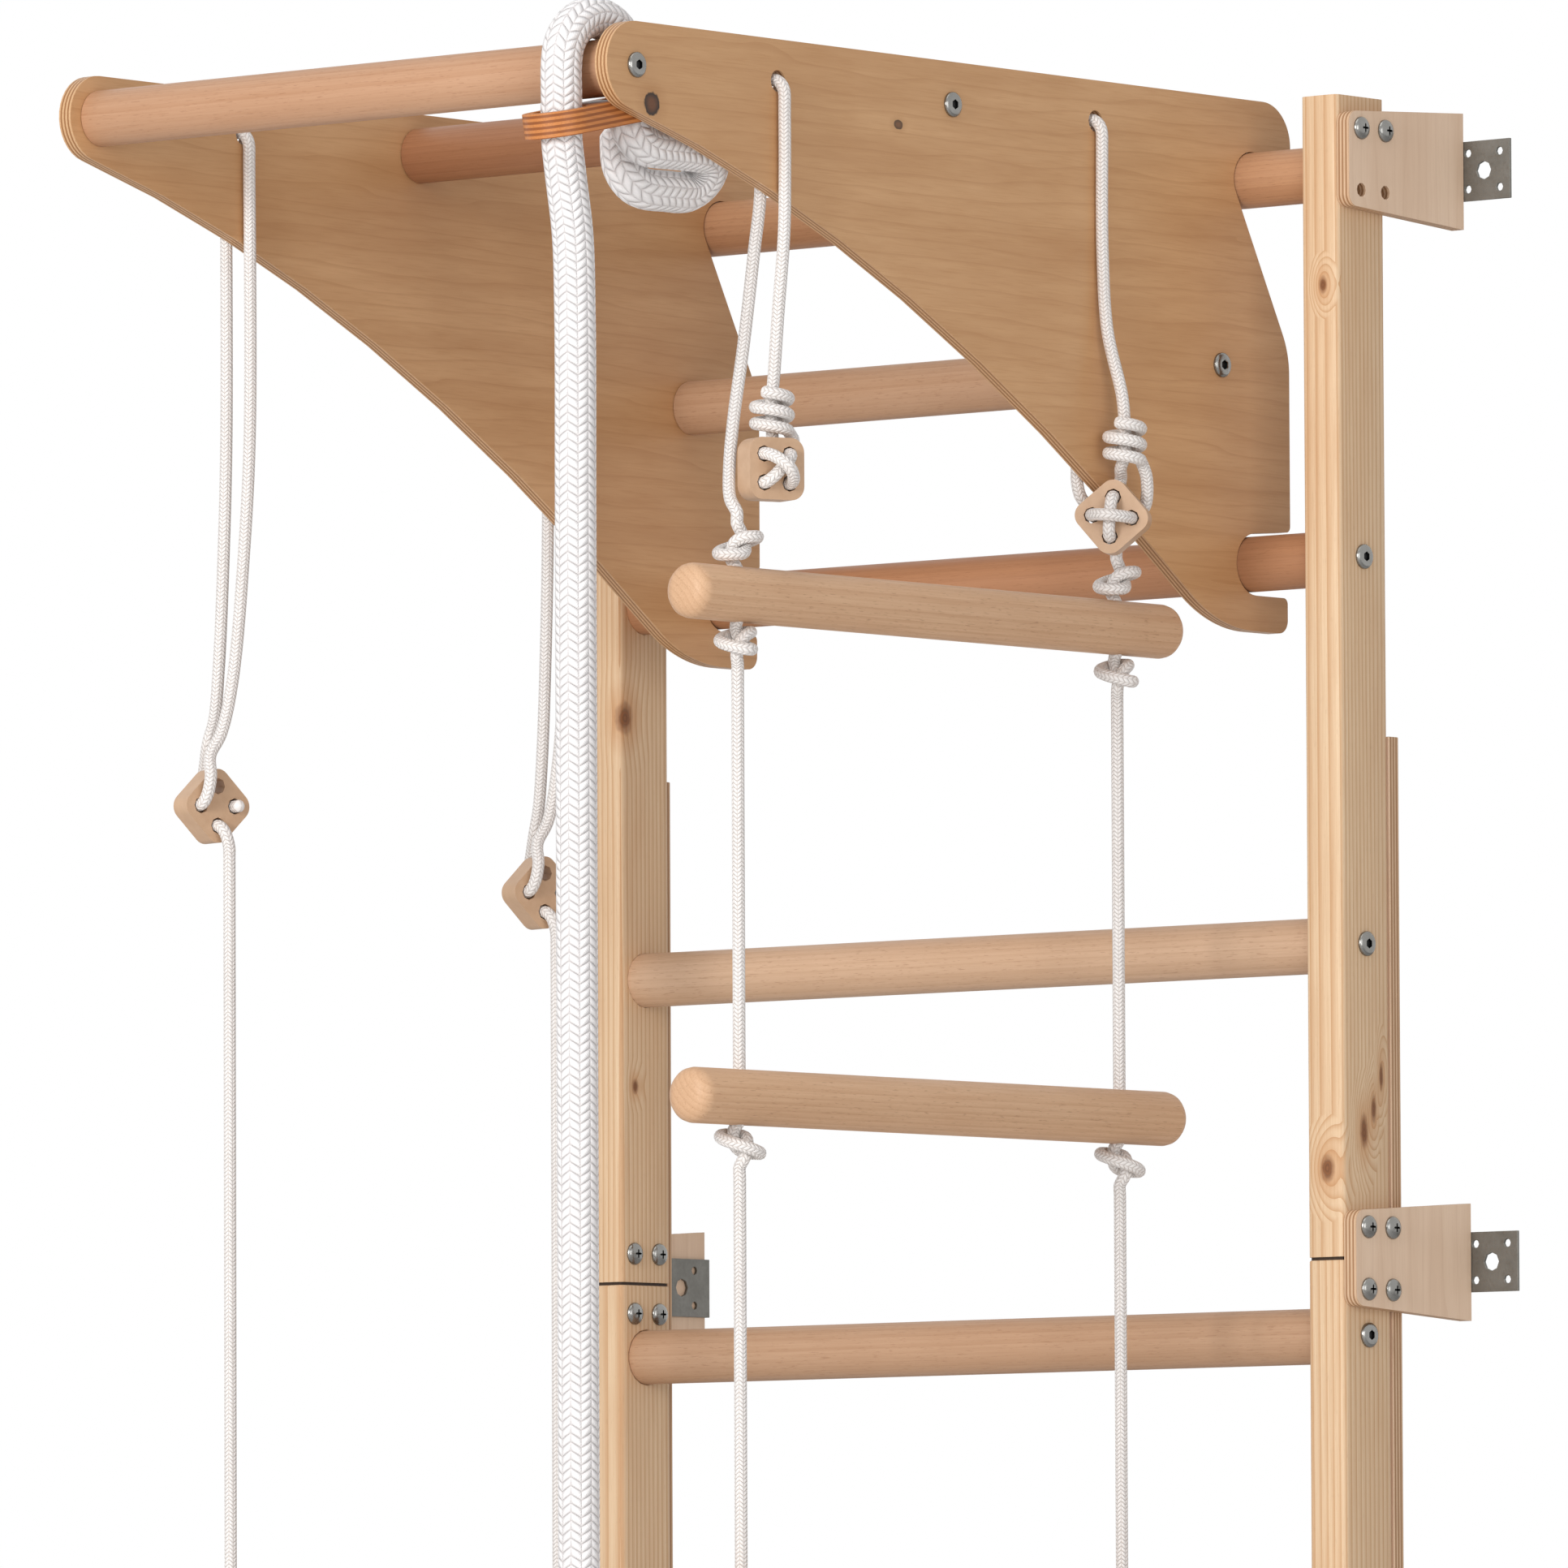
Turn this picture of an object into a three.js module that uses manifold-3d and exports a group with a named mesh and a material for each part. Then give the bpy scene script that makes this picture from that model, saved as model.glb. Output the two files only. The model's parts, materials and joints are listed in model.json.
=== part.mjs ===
// Swedish wall bars with a hang-on pull-up unit, a climbing rope, a rope ladder and a pair of rings.
// Millimetres, +Z up. The origin lies on the wall at floor level, midway between the posts.
// +X runs along the rungs and +Y points into the wall, so the whole object stands on the -Y side.

import * as THREE from 'three';
import { mergeVertices } from 'three/addons/utils/BufferGeometryUtils.js';
import Module from 'manifold-3d';

const wasm = await Module();
wasm.setup();

// Running and assembly clearances
const fitGap = 0.3;
const hookClearance = 0.7;
const slotClearance = 2.2;
const cordClearance = 1.3;

// Posts and rungs
const sectionLength = 750;
const spliceGap = 2;
const rungPitch = 250;
const rungsPerSection = 3;
const topRungDrop = 48;
const clearWidth = 584;
const postWidth = 30;
const postDepth = 50;
const postEdgeRadius = 4;
const rungDiameter = 36;
const socketDepth = 14;
const rungBoltBore = 7;
const wallGap = 72;

// Splice battens behind the posts
const battenThickness = 10;
const battenWidth = 22;
const battenLength = 676;

// Plywood wall brackets
const bracketThickness = 10;
const bracketFrontHeight = 62;
const bracketWallHeight = 76;
const bracketCornerRadius = 8;
const topBracketDrop = 42;
const bracketScrewPitchY = 25;
const bracketScrewPitchZ = 40;
const bracketScrewHole = 9;

// Steel wall angles
const angleLeg = 50;
const angleHeight = 39;
const angleThickness = 2;
const angleBigHole = 12;
const angleSmallHole = 5.5;
const angleHoleSetback = 28.5;
const angleHolePitchAcross = 26;
const angleHolePitchUp = 23.5;

// Side panels of the pull-up unit; reaches are ahead of the top rung's axis, heights above it
const panelThickness = 10;
const panelInset = 60;
const panelTopRise = 52.5;
const noseRadius = 27.5;
const barReach = 610;
const middleDowelReach = 304;
const rearDowelReach = 33;
const rearDowelDrop = 122.5;
const dowelDiameter = 36;
const dowelBoltBore = 7;
const hookBackReach = 40;
const hookCornerRadius = 28;
const hookTipRise = 3;
const hookTipRadius = 5;
const backEdgeReach = 37.5;
const backSlope = THREE.MathUtils.degToRad(28);
const backFilletRadius = 55;
const slotMouthRise = 2.5;
const slotCornerRadius = 4;
const toeReach = 34.5;
const toeDrop = 43.5;
const toeRadius = 9;
const heelRadius = 113;
const heelAngle = THREE.MathUtils.degToRad(36.3);
const noseAngle = THREE.MathUtils.degToRad(13.5);

// Cords of the ladder and the rings
const cordDiameter = 8;
const cordHoleDiameter = 14;
const cordHoleRise = 26;
const frontHoleReach = 474;
const rearHoleReach = 160;

// Four-hole toggles
const toggleSize = 39;
const toggleThickness = 16;
const toggleCornerRadius = 9;
const toggleHolePitch = 18;
const ladderToggleFrontReach = 492;
const ladderToggleFrontDrop = 220;
const ladderToggleRearReach = 159;
const ladderToggleRearDrop = 230;
const ringToggleFrontReach = 500;
const ringToggleFrontDrop = 410;
const ringToggleRearReach = 182;
const ringToggleRearDrop = 452;

// Climbing rope and its keeper
const ropeDiameter = 26;
const loopGap = 1;
const ropeDrop = 1960;
const endKnotRise = 60;
const hangLead = 20;
const keeperWidth = 46;
const keeperThickness = 16;
const keeperEnd = 50;
const keeperHole = 34;
const keeperDrop = 4;
const keeperTilt = THREE.MathUtils.degToRad(12);

// Rope ladder
const ladderRungCount = 5;
const ladderRungDiameter = 35;
const ladderRungLength = 478;
const ladderRungEdge = 9;
const ladderPitch = 314;
const ladderOffset = 3;
const ladderPivotDrop = 252;
const ladderFirstDrop = 299;
const ladderFrontReach = 513;
const ladderRearReach = 139;
const knotLength = 25;
const knotDiameter = 22;

// Rings
const ringDiameter = 180;
const ringSection = 28;
const ringKnotDrop = 944;

// Facet counts
const roundSides = 18;
const holeSides = 8;
const cordSides = 6;
const ropeSides = 12;

// Derived places
const sectionNames = ['upper', 'middle', 'lower'];
const sectionPitch = sectionLength + spliceGap;
const overallHeight = sectionNames.length * sectionPitch - spliceGap;
const rungY = -(wallGap + postDepth / 2);
const postX = (clearWidth + postWidth) / 2;
const topRungZ = overallHeight - topRungDrop;
const panelX = clearWidth / 2 - panelInset - panelThickness / 2;
const barRise = panelTopRise - noseRadius;
const cordRadius = cordDiameter / 2;
const ropeRadius = ropeDiameter / 2;

const finishes = {
  pine: { color: 0xe2c196, roughness: 0.55, metalness: 0 },
  beech: { color: 0xd0a07a, roughness: 0.5, metalness: 0 },
  birchPly: { color: 0xc59c6d, roughness: 0.45, metalness: 0 },
  palePly: { color: 0xd3b093, roughness: 0.6, metalness: 0 },
  stainedPly: { color: 0xb97a45, roughness: 0.5, metalness: 0 },
  steel: { color: 0x8e857c, roughness: 0.4, metalness: 1 },
  cord: { color: 0xe9e4df, roughness: 0.6, metalness: 0 },
  toggle: { color: 0xd0ac8c, roughness: 0.45, metalness: 0 },
};

function addPiece(group, name, geometry, finish) {
  const mesh = new THREE.Mesh(geometry, new THREE.MeshStandardMaterial(finish));
  mesh.name = name;
  group.add(mesh);
  return mesh;
}

// A closed geometry as a solid that can be joined or cut
function toSolid(geometry) {
  const bare = geometry.clone();
  bare.deleteAttribute('normal');
  bare.deleteAttribute('uv');
  const merged = mergeVertices(bare, 1e-4);
  const corners = merged.index.array;
  const kept = [];
  for (let i = 0; i < corners.length; i += 3) {
    const [a, b, c] = [corners[i], corners[i + 1], corners[i + 2]];
    if (a !== b && b !== c && c !== a) kept.push(a, b, c);
  }
  return new wasm.Manifold(new wasm.Mesh({
    numProp: 3,
    vertProperties: new Float32Array(merged.attributes.position.array),
    triVerts: new Uint32Array(kept),
  }));
}

function toGeometry(solid) {
  const { vertProperties, triVerts } = solid.getMesh();
  const geometry = new THREE.BufferGeometry();
  geometry.setAttribute('position', new THREE.BufferAttribute(new Float32Array(vertProperties), 3));
  geometry.setIndex(new THREE.BufferAttribute(new Uint32Array(triVerts), 1));
  return geometry;
}

function cut(geometry, cutters) {
  return toGeometry(cutters.reduce((solid, cutter) => solid.subtract(toSolid(cutter)), toSolid(geometry)));
}

function join(geometries) {
  return toGeometry(geometries.slice(1).reduce((solid, one) => solid.add(toSolid(one)), toSolid(geometries[0])));
}

// A round bar along X, Y or Z, centred on its own middle
function roundBar(axis, diameter, length, sides = roundSides) {
  const bar = new THREE.CylinderGeometry(diameter / 2, diameter / 2, length, sides);
  if (axis === 'x') bar.rotateZ(Math.PI / 2);
  if (axis === 'z') bar.rotateX(Math.PI / 2);
  return bar;
}

function roundedRectangle(width, height, radius) {
  const w = width / 2;
  const h = height / 2;
  const shape = new THREE.Shape();
  shape.moveTo(w, radius - h);
  shape.absarc(w - radius, h - radius, radius, 0, Math.PI / 2);
  shape.absarc(radius - w, h - radius, radius, Math.PI / 2, Math.PI);
  shape.absarc(radius - w, radius - h, radius, Math.PI, Math.PI * 1.5);
  shape.absarc(w - radius, radius - h, radius, Math.PI * 1.5, Math.PI * 2);
  return shape;
}

function addRoundHole(shape, x, y, diameter) {
  const hole = new THREE.Path();
  hole.absarc(x, y, diameter / 2, 0, Math.PI * 2, true);
  shape.holes.push(hole);
}

// A flat plate drawn as (y, z) and given its thickness along X, centred on x = 0
function sidePlate(shape, thickness, curveSegments) {
  const plate = new THREE.ExtrudeGeometry(shape, { depth: thickness, bevelEnabled: false, curveSegments });
  plate.translate(0, 0, -thickness / 2);
  const along = new THREE.Matrix4().makeBasis(
    new THREE.Vector3(0, 1, 0), new THREE.Vector3(0, 0, 1), new THREE.Vector3(1, 0, 0));
  return toGeometry(toSolid(plate.applyMatrix4(along)));
}

// A closed tube through rings of {centre, radius}, its section carried without twist
function tubeThrough(rings, sides) {
  const count = rings.length;
  const positions = [];
  const index = [];
  let side = null;
  rings.forEach((ring, i) => {
    const ahead = rings[Math.min(i + 1, count - 1)].centre;
    const behind = rings[Math.max(i - 1, 0)].centre;
    const along = ahead.clone().sub(behind).normalize();
    if (!side) {
      const seed = Math.abs(along.x) < 0.8 ? new THREE.Vector3(1, 0, 0) : new THREE.Vector3(0, 1, 0);
      side = seed.clone();
    }
    side.addScaledVector(along, -side.dot(along)).normalize();
    const across = along.clone().cross(side);
    for (let k = 0; k < sides; k += 1) {
      const angle = (k / sides) * Math.PI * 2;
      const point = ring.centre.clone()
        .addScaledVector(side, ring.radius * Math.cos(angle))
        .addScaledVector(across, ring.radius * Math.sin(angle));
      positions.push(point.x, point.y, point.z);
    }
  });
  for (let i = 0; i < count - 1; i += 1) {
    for (let k = 0; k < sides; k += 1) {
      const a = i * sides + k;
      const b = i * sides + ((k + 1) % sides);
      index.push(a, b, b + sides, a, b + sides, a + sides);
    }
  }
  const first = rings[0].centre;
  const last = rings[count - 1].centre;
  positions.push(first.x, first.y, first.z, last.x, last.y, last.z);
  for (let k = 0; k < sides; k += 1) {
    const next = (k + 1) % sides;
    const lastRing = (count - 1) * sides;
    index.push(count * sides, next, k);
    index.push(count * sides + 1, lastRing + k, lastRing + next);
  }
  const geometry = new THREE.BufferGeometry();
  geometry.setAttribute('position', new THREE.Float32BufferAttribute(positions, 3));
  geometry.setIndex(index);
  return geometry;
}

// Rings along a smooth curve: closer where it bends, up to longestStep apart where it is straight
function ringsAlong(points, radius, longestStep, largestTurn = 0.4) {
  const curve = new THREE.CatmullRomCurve3(points, false, 'centripetal');
  const samples = curve.getPoints(points.length * 16);
  const rings = [{ centre: samples[0], radius }];
  let heading = samples[1].clone().sub(samples[0]).normalize();
  let kept = samples[0];
  for (let i = 1; i < samples.length - 1; i += 1) {
    const ahead = samples[i + 1].clone().sub(samples[i]).normalize();
    if (ahead.angleTo(heading) > largestTurn || samples[i].distanceTo(kept) > longestStep) {
      rings.push({ centre: samples[i], radius });
      heading = ahead;
      kept = samples[i];
    }
  }
  const end = samples[samples.length - 1];
  if (kept.distanceTo(end) < radius / 2 && rings.length > 2) rings.pop();
  rings.push({ centre: end, radius });
  return rings;
}

function cordTube(points) {
  return tubeThrough(ringsAlong(points, cordRadius, 90), cordSides);
}

const vec = (x, y, z) => new THREE.Vector3(x, y, z);
const part = new THREE.Group();

// Wall frame: posts
const postShape = roundedRectangle(postWidth, postDepth, postEdgeRadius);
const postBlank = new THREE.ExtrudeGeometry(postShape, {
  depth: sectionLength, bevelEnabled: false, curveSegments: 2,
});
const postCutters = [];
for (let k = 0; k < rungsPerSection; k += 1) {
  const z = sectionLength - topRungDrop - k * rungPitch;
  const socket = roundBar('x', rungDiameter + 2 * fitGap, 2 * socketDepth);
  postCutters.push(socket.translate(-postWidth / 2, 0, z));
  const bore = roundBar('x', rungBoltBore, 2 * postWidth, holeSides);
  postCutters.push(bore.translate(postWidth / 2, 0, z));
}
const postGeometry = cut(postBlank, postCutters);
const sides = [
  { name: 'left', sign: -1 },
  { name: 'right', sign: 1 },
];
for (const side of sides) {
  sectionNames.forEach((section, i) => {
    const post = addPiece(part, `${side.name}_post_${section}`, postGeometry, finishes.pine);
    post.position.set(side.sign * postX, rungY, overallHeight - sectionLength - i * sectionPitch);
    post.rotation.z = side.sign < 0 ? Math.PI : 0;
  });
}

// Wall frame: rungs, their ends in the posts' sockets
const rungLength = clearWidth + 2 * (socketDepth - fitGap);
for (let i = 0; i < sectionNames.length * rungsPerSection; i += 1) {
  const section = Math.floor(i / rungsPerSection);
  const place = i % rungsPerSection;
  const rung = addPiece(part, `rung_${i + 1}`, roundBar('x', rungDiameter, rungLength), finishes.beech);
  rung.position.set(0, rungY, topRungZ - section * sectionPitch - place * rungPitch);
}

// Wall frame: battens behind the posts, across each splice
const spliceHeights = sectionNames.slice(1).map((_, i) => overallHeight - (i + 1) * sectionPitch + spliceGap / 2);
const battenX = clearWidth / 2 + postWidth - battenWidth / 2;
const battenY = rungY + postDepth / 2 + fitGap + battenThickness / 2;
for (const side of sides) {
  spliceHeights.forEach((z, i) => {
    const batten = new THREE.BoxGeometry(battenWidth, battenThickness, battenLength);
    const piece = addPiece(part, `${side.name}_splice_batten_${i + 1}`, batten, finishes.palePly);
    piece.position.set(side.sign * battenX, battenY, z);
  });
}

// Wall brackets: a plate flush with the post's front, flaring towards the wall angle
function bracketShape() {
  const front = -postDepth / 2;
  const back = postDepth / 2 + wallGap - angleThickness - fitGap;
  const f = bracketFrontHeight / 2;
  const b = bracketWallHeight / 2;
  const r = bracketCornerRadius;
  const shape = new THREE.Shape();
  shape.moveTo(front + r, -f);
  shape.lineTo(back, -b);
  shape.lineTo(back, b);
  shape.lineTo(front + r, f);
  shape.absarc(front + r, f - r, r, Math.PI / 2, Math.PI);
  shape.absarc(front + r, r - f, r, Math.PI, Math.PI * 1.5);
  for (const across of [-1, 1]) {
    for (const up of [-1, 1]) {
      addRoundHole(shape, across * bracketScrewPitchY / 2, up * bracketScrewPitchZ / 2, bracketScrewHole);
    }
  }
  return shape;
}

// Wall angles: heel at the origin, one leg along +X on the wall, the other along -Y
function angleGeometry() {
  const shape = new THREE.Shape();
  shape.moveTo(0, 0);
  shape.lineTo(angleLeg, 0);
  shape.lineTo(angleLeg, -angleThickness);
  shape.lineTo(angleThickness, -angleThickness);
  shape.lineTo(angleThickness, -angleLeg);
  shape.lineTo(0, -angleLeg);
  shape.closePath();
  const blank = new THREE.ExtrudeGeometry(shape, { depth: angleHeight, bevelEnabled: false });
  blank.translate(0, 0, -angleHeight / 2);
  const spots = [{ across: 0, up: 0, diameter: angleBigHole }];
  for (const across of [-1, 1]) {
    for (const up of [-1, 1]) {
      spots.push({
        across: across * angleHolePitchAcross / 2,
        up: up * angleHolePitchUp / 2,
        diameter: angleSmallHole,
      });
    }
  }
  const cutters = spots.map(({ across, up, diameter }) => {
    const reach = angleHoleSetback + across;
    const throughWall = roundBar('y', diameter, 4 * angleThickness, holeSides).translate(reach, 0, up);
    return throughWall;
  });
  for (const up of [-1, 1]) {
    const screw = roundBar('x', angleSmallHole, 4 * angleThickness, holeSides);
    cutters.push(screw.translate(0, -angleHoleSetback, up * angleHolePitchUp / 2));
  }
  return cut(blank, cutters);
}

const bracketGeometry = sidePlate(bracketShape(), bracketThickness, 5);
const wallAngle = angleGeometry();
const bracketPlaces = [
  { name: 'top', z: overallHeight - topBracketDrop },
  { name: 'upper_splice', z: spliceHeights[0] },
  { name: 'lower_splice', z: spliceHeights[1] },
];
const bracketInner = clearWidth / 2 + postWidth + fitGap;
for (const side of sides) {
  for (const place of bracketPlaces) {
    const bracket = addPiece(part, `${side.name}_bracket_${place.name}`, bracketGeometry, finishes.palePly);
    bracket.position.set(side.sign * (bracketInner + bracketThickness / 2), rungY, place.z);
    const angle = addPiece(part, `${side.name}_wall_angle_${place.name}`, wallAngle, finishes.steel);
    angle.position.set(side.sign * (bracketInner - fitGap - angleThickness), 0, place.z);
    angle.rotation.z = side.sign < 0 ? -Math.PI / 2 : 0;
  }
}

// Pull-up unit: everything from here hangs in a group at the middle of the top rung
const unit = new THREE.Group();
unit.position.set(0, rungY, topRungZ);
part.add(unit);

// Side panel outline as (y, z): nose round the bar, hook over the top rung, slot over the next one
function panelShape() {
  const hookRadius = rungDiameter / 2 + hookClearance;
  const slotRadius = rungDiameter / 2 + slotClearance;
  const slotZ = -rungPitch;
  const slotY = slotClearance - fitGap;
  const bottomZ = slotZ - toeDrop;
  const shape = new THREE.Shape();
  shape.absarc(hookBackReach - hookCornerRadius, panelTopRise - hookCornerRadius,
    hookCornerRadius, Math.PI / 2, 0, true);
  shape.absarc(hookBackReach - hookTipRadius, hookTipRise + hookTipRadius, hookTipRadius, 0, -Math.PI / 2, true);
  shape.absarc(0, 0, hookRadius, Math.asin(hookTipRise / hookRadius), Math.PI + backSlope, false);
  const drop = (backEdgeReach + hookRadius * Math.cos(backSlope)) / Math.tan(backSlope);
  const cornerZ = -hookRadius * Math.sin(backSlope) - drop;
  const tangent = backFilletRadius * Math.tan(backSlope / 2);
  shape.absarc(backEdgeReach - backFilletRadius, cornerZ - tangent, backFilletRadius, backSlope, 0, true);
  const mouthTop = slotZ + slotRadius + slotMouthRise;
  shape.absarc(backEdgeReach - slotCornerRadius, mouthTop + slotCornerRadius,
    slotCornerRadius, 0, -Math.PI / 2, true);
  shape.absarc(slotY, slotZ, slotRadius, Math.PI / 2, Math.PI * 1.5, false);
  shape.absarc(toeReach - slotCornerRadius, slotZ - slotRadius - slotCornerRadius,
    slotCornerRadius, Math.PI / 2, 0, true);
  shape.absarc(toeReach - toeRadius, bottomZ + toeRadius, toeRadius, 0, -Math.PI / 2, true);
  shape.absarc(0, bottomZ + heelRadius, heelRadius, -Math.PI / 2, -Math.PI / 2 - heelAngle, true);
  const heel = new THREE.Vector2(
    -heelRadius * Math.sin(heelAngle), bottomZ + heelRadius * (1 - Math.cos(heelAngle)));
  const noseTurn = -Math.PI / 2 - noseAngle;
  const chin = new THREE.Vector2(
    -barReach + noseRadius * Math.cos(noseTurn), barRise + noseRadius * Math.sin(noseTurn));
  const heelRate = Math.tan(heelAngle);
  const chinRate = Math.tan(noseAngle);
  const bendY = (chin.y - heel.y + chinRate * chin.x - heelRate * heel.x) / (chinRate - heelRate);
  const bendZ = heel.y - heelRate * (bendY - heel.x);
  shape.quadraticCurveTo(bendY, bendZ, chin.x, chin.y);
  shape.absarc(-barReach, barRise, noseRadius, noseTurn, Math.PI / 2, true);
  return shape;
}

const panelHoles = [
  { y: -barReach, z: barRise, diameter: dowelBoltBore },
  { y: -middleDowelReach, z: barRise, diameter: dowelBoltBore },
  { y: -rearDowelReach, z: -rearDowelDrop, diameter: dowelBoltBore },
  { y: -frontHoleReach, z: cordHoleRise, diameter: cordHoleDiameter },
  { y: -rearHoleReach, z: cordHoleRise, diameter: cordHoleDiameter },
];
const panelGeometry = cut(sidePlate(panelShape(), panelThickness, 8), panelHoles.map(
  ({ y, z, diameter }) => roundBar('x', diameter, 2 * panelThickness, 2 * holeSides).translate(0, y, z)));
for (const side of sides) {
  const panel = addPiece(unit, `${side.name}_side_panel`, panelGeometry, finishes.birchPly);
  panel.position.x = side.sign * panelX;
}

// Dowels between the panels
const dowelLength = 2 * (panelX - panelThickness / 2 - fitGap);
const dowels = [
  { name: 'pull_up_bar', y: -barReach, z: barRise },
  { name: 'middle_dowel', y: -middleDowelReach, z: barRise },
  { name: 'rear_dowel', y: -rearDowelReach, z: -rearDowelDrop },
];
for (const { name, y, z } of dowels) {
  addPiece(unit, name, roundBar('x', dowelDiameter, dowelLength), finishes.beech).position.set(0, y, z);
}

// Toggles: a rounded square with four holes, its face turned outwards and then rolled in its own plane
const hole = toggleHolePitch / 2;
const face = toggleThickness / 2;
const toggles = {
  ladder_front: { side: 1, centre: vec(13, -ladderToggleFrontReach, -ladderToggleFrontDrop), turn: 20, roll: 0 },
  ladder_rear: { side: 1, centre: vec(17, -ladderToggleRearReach, -ladderToggleRearDrop), turn: 60, roll: 40 },
  ring_front: { side: -1, centre: vec(0, -ringToggleFrontReach, -ringToggleFrontDrop), turn: 15, roll: 45 },
  ring_rear: { side: -1, centre: vec(0, -ringToggleRearReach, -ringToggleRearDrop), turn: 15, roll: 45 },
};

function toggleFrame({ centre, turn }, roll) {
  const yaw = THREE.MathUtils.degToRad(turn);
  const out = vec(Math.cos(yaw), -Math.sin(yaw), 0);
  const across = vec(Math.sin(yaw), Math.cos(yaw), 0);
  const frame = new THREE.Matrix4().makeBasis(across, vec(0, 0, 1), out).setPosition(centre);
  return frame.multiply(new THREE.Matrix4().makeRotationZ(THREE.MathUtils.degToRad(roll)));
}

function toggleGeometry() {
  const shape = roundedRectangle(toggleSize, toggleSize, toggleCornerRadius);
  for (const across of [-1, 1]) {
    for (const up of [-1, 1]) {
      addRoundHole(shape, across * hole, up * hole, cordDiameter + 2 * cordClearance);
    }
  }
  const block = new THREE.ExtrudeGeometry(shape, {
    depth: toggleThickness, bevelEnabled: false, curveSegments: holeSides / 2,
  });
  return block.translate(0, 0, -face);
}

const toggleBlock = toggleGeometry();
const cordGroups = new Map([-1, 1].map((sign) => {
  const group = new THREE.Group();
  group.position.x = sign * panelX;
  unit.add(group);
  return [sign, group];
}));
for (const [name, toggle] of Object.entries(toggles)) {
  const piece = addPiece(cordGroups.get(toggle.side), `${name}_toggle`, toggleBlock, finishes.toggle);
  toggleFrame(toggle, toggle.roll).decompose(piece.position, piece.quaternion, piece.scale);
}

// The bend of a cord through a panel hole: over the hole's lower edge from one face to the other
const bendRadius = panelThickness / 2 + cordRadius + 1.2;
function bendPoints(y, from) {
  const springing = cordHoleRise - bendRadius + 1.2;
  const bend = Array.from({ length: 9 }, (_, i) => {
    const angle = (i / 8) * Math.PI;
    return vec(from * bendRadius * Math.cos(angle), y, springing + bendRadius * Math.sin(angle));
  });
  const lead = (sign) => vec(sign * from * bendRadius, y, springing - cordDiameter);
  return [lead(1), ...bend, lead(-1)];
}

// Lacing of a ladder toggle in its own frame: one pass under, round the back, one pass over in a cross
const lacing = [
  [9, 9, 3], [8.8, 8.8, 9.8], [5.8, 5.8, 13.7], [0, 0, 14.2], [-5.8, -5.8, 13.7], [-8.8, -8.8, 9.8],
  [-9, -9, 3], [-9, -9, -3], [-9, -8.8, -9.5], [-9, -6, -12.8], [-9, 0, -13.4], [-9, 6, -12.8],
  [-9, 8.8, -9.5], [-9, 9, -3], [-9, 9, 3], [-8.9, 8.9, 10.5], [-6, 6, 18.4], [0, 0, 23.4], [6, -6, 18.4],
  [8.9, -8.9, 10.5], [9, -9, 3], [9, -9, -3], [9.3, -8.8, -10.5], [11.5, -7, -13.2],
];
const points = (list) => list.map(([x, y, z]) => vec(x, y, z));
const placed = (frame, list) => points(list).map((point) => point.applyMatrix4(frame));

// Turns of the cord's tail round the standing strand: they climb and go round clockwise
const wrapRadius = 10.5;
const wrapTurns = 2.3;
const wrapPitch = 10.4;
const wrapStepsPerTurn = 12;
function wrapPoints(x, y, z) {
  return Array.from({ length: Math.round(wrapTurns * wrapStepsPerTurn) + 1 }, (_, i) => {
    const turns = i / wrapStepsPerTurn;
    const angle = Math.PI / 4 - turns * 2 * Math.PI;
    return vec(x + wrapRadius * Math.cos(angle), y + wrapRadius * Math.sin(angle), z + turns * wrapPitch);
  });
}

const slingEnd = -ladderPivotDrop + cordRadius + 6 * fitGap;

// Front ladder sling: up behind the toggle, over the panel, down outside it, through the toggle and round
function frontLadderSling() {
  const rolled = toggleFrame(toggles.ladder_front, toggles.ladder_front.roll);
  return [
    ...points([[ladderOffset, -ladderFrontReach, slingEnd], [-5, -513, -238], [-8, -507.5, -220],
      [-8.5, -503, -190], [-9, -492, -140], [-bendRadius, -480, -80], [-bendRadius, -474, -45]]),
    ...bendPoints(-frontHoleReach, -1),
    ...points([[bendRadius, -474, -30], [bendRadius, -475, -70], [8.5, -479, -120], [7.3, -482, -160],
      [6.6, -483.3, -175], [6, -482.5, -194]]),
    ...placed(rolled, [[9, 16, -13.6], [9, 11.5, -13.2], [9, 9.3, -9], [9, 9, -3], ...lacing,
      [17, 0, -14], [20.5, 10, -13.4], [22, 19, -10]]),
    ...wrapPoints(6.6, -483.3, -195.5),
  ];
}

// Rear ladder sling: the same lacing on a toggle that has turned further out and rolled over
function rearLadderSling() {
  const upright = toggleFrame(toggles.ladder_rear, 0);
  const rolled = toggleFrame(toggles.ladder_rear, toggles.ladder_rear.roll);
  return [
    ...points([[ladderOffset, -ladderRearReach, slingEnd]]),
    ...placed(upright, [[-7, -12, -23], [-14, 6, -20.5]]),
    ...points([[-8.5, -159, -217], [-bendRadius, -162, -207], [-bendRadius, -160, -170]]),
    ...bendPoints(-rearHoleReach, -1),
    ...points([[bendRadius, -160, -60], [13.5, -159.5, -110], [22, -155.5, -152], [23.5, -155, -170],
      [23.5, -155, -190]]),
    ...placed(upright, [[4, 32, -6], [3, 27, -13], [2, 20, -13.4], [1.2, 15.2, -12.6], [1.1, 13, -9],
      [1.1, 12.7, -3]]),
    ...placed(rolled, lacing),
    ...placed(upright, [[14, 0.5, -13.4], [19, 9, -13.4]]),
    ...points([[30, -141, -204]]),
    ...wrapPoints(23.5, -155, -194),
  ];
}

addPiece(cordGroups.get(1), 'ladder_front_sling', cordTube(frontLadderSling()), finishes.cord);
addPiece(cordGroups.get(1), 'ladder_rear_sling', cordTube(rearLadderSling()), finishes.cord);

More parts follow.
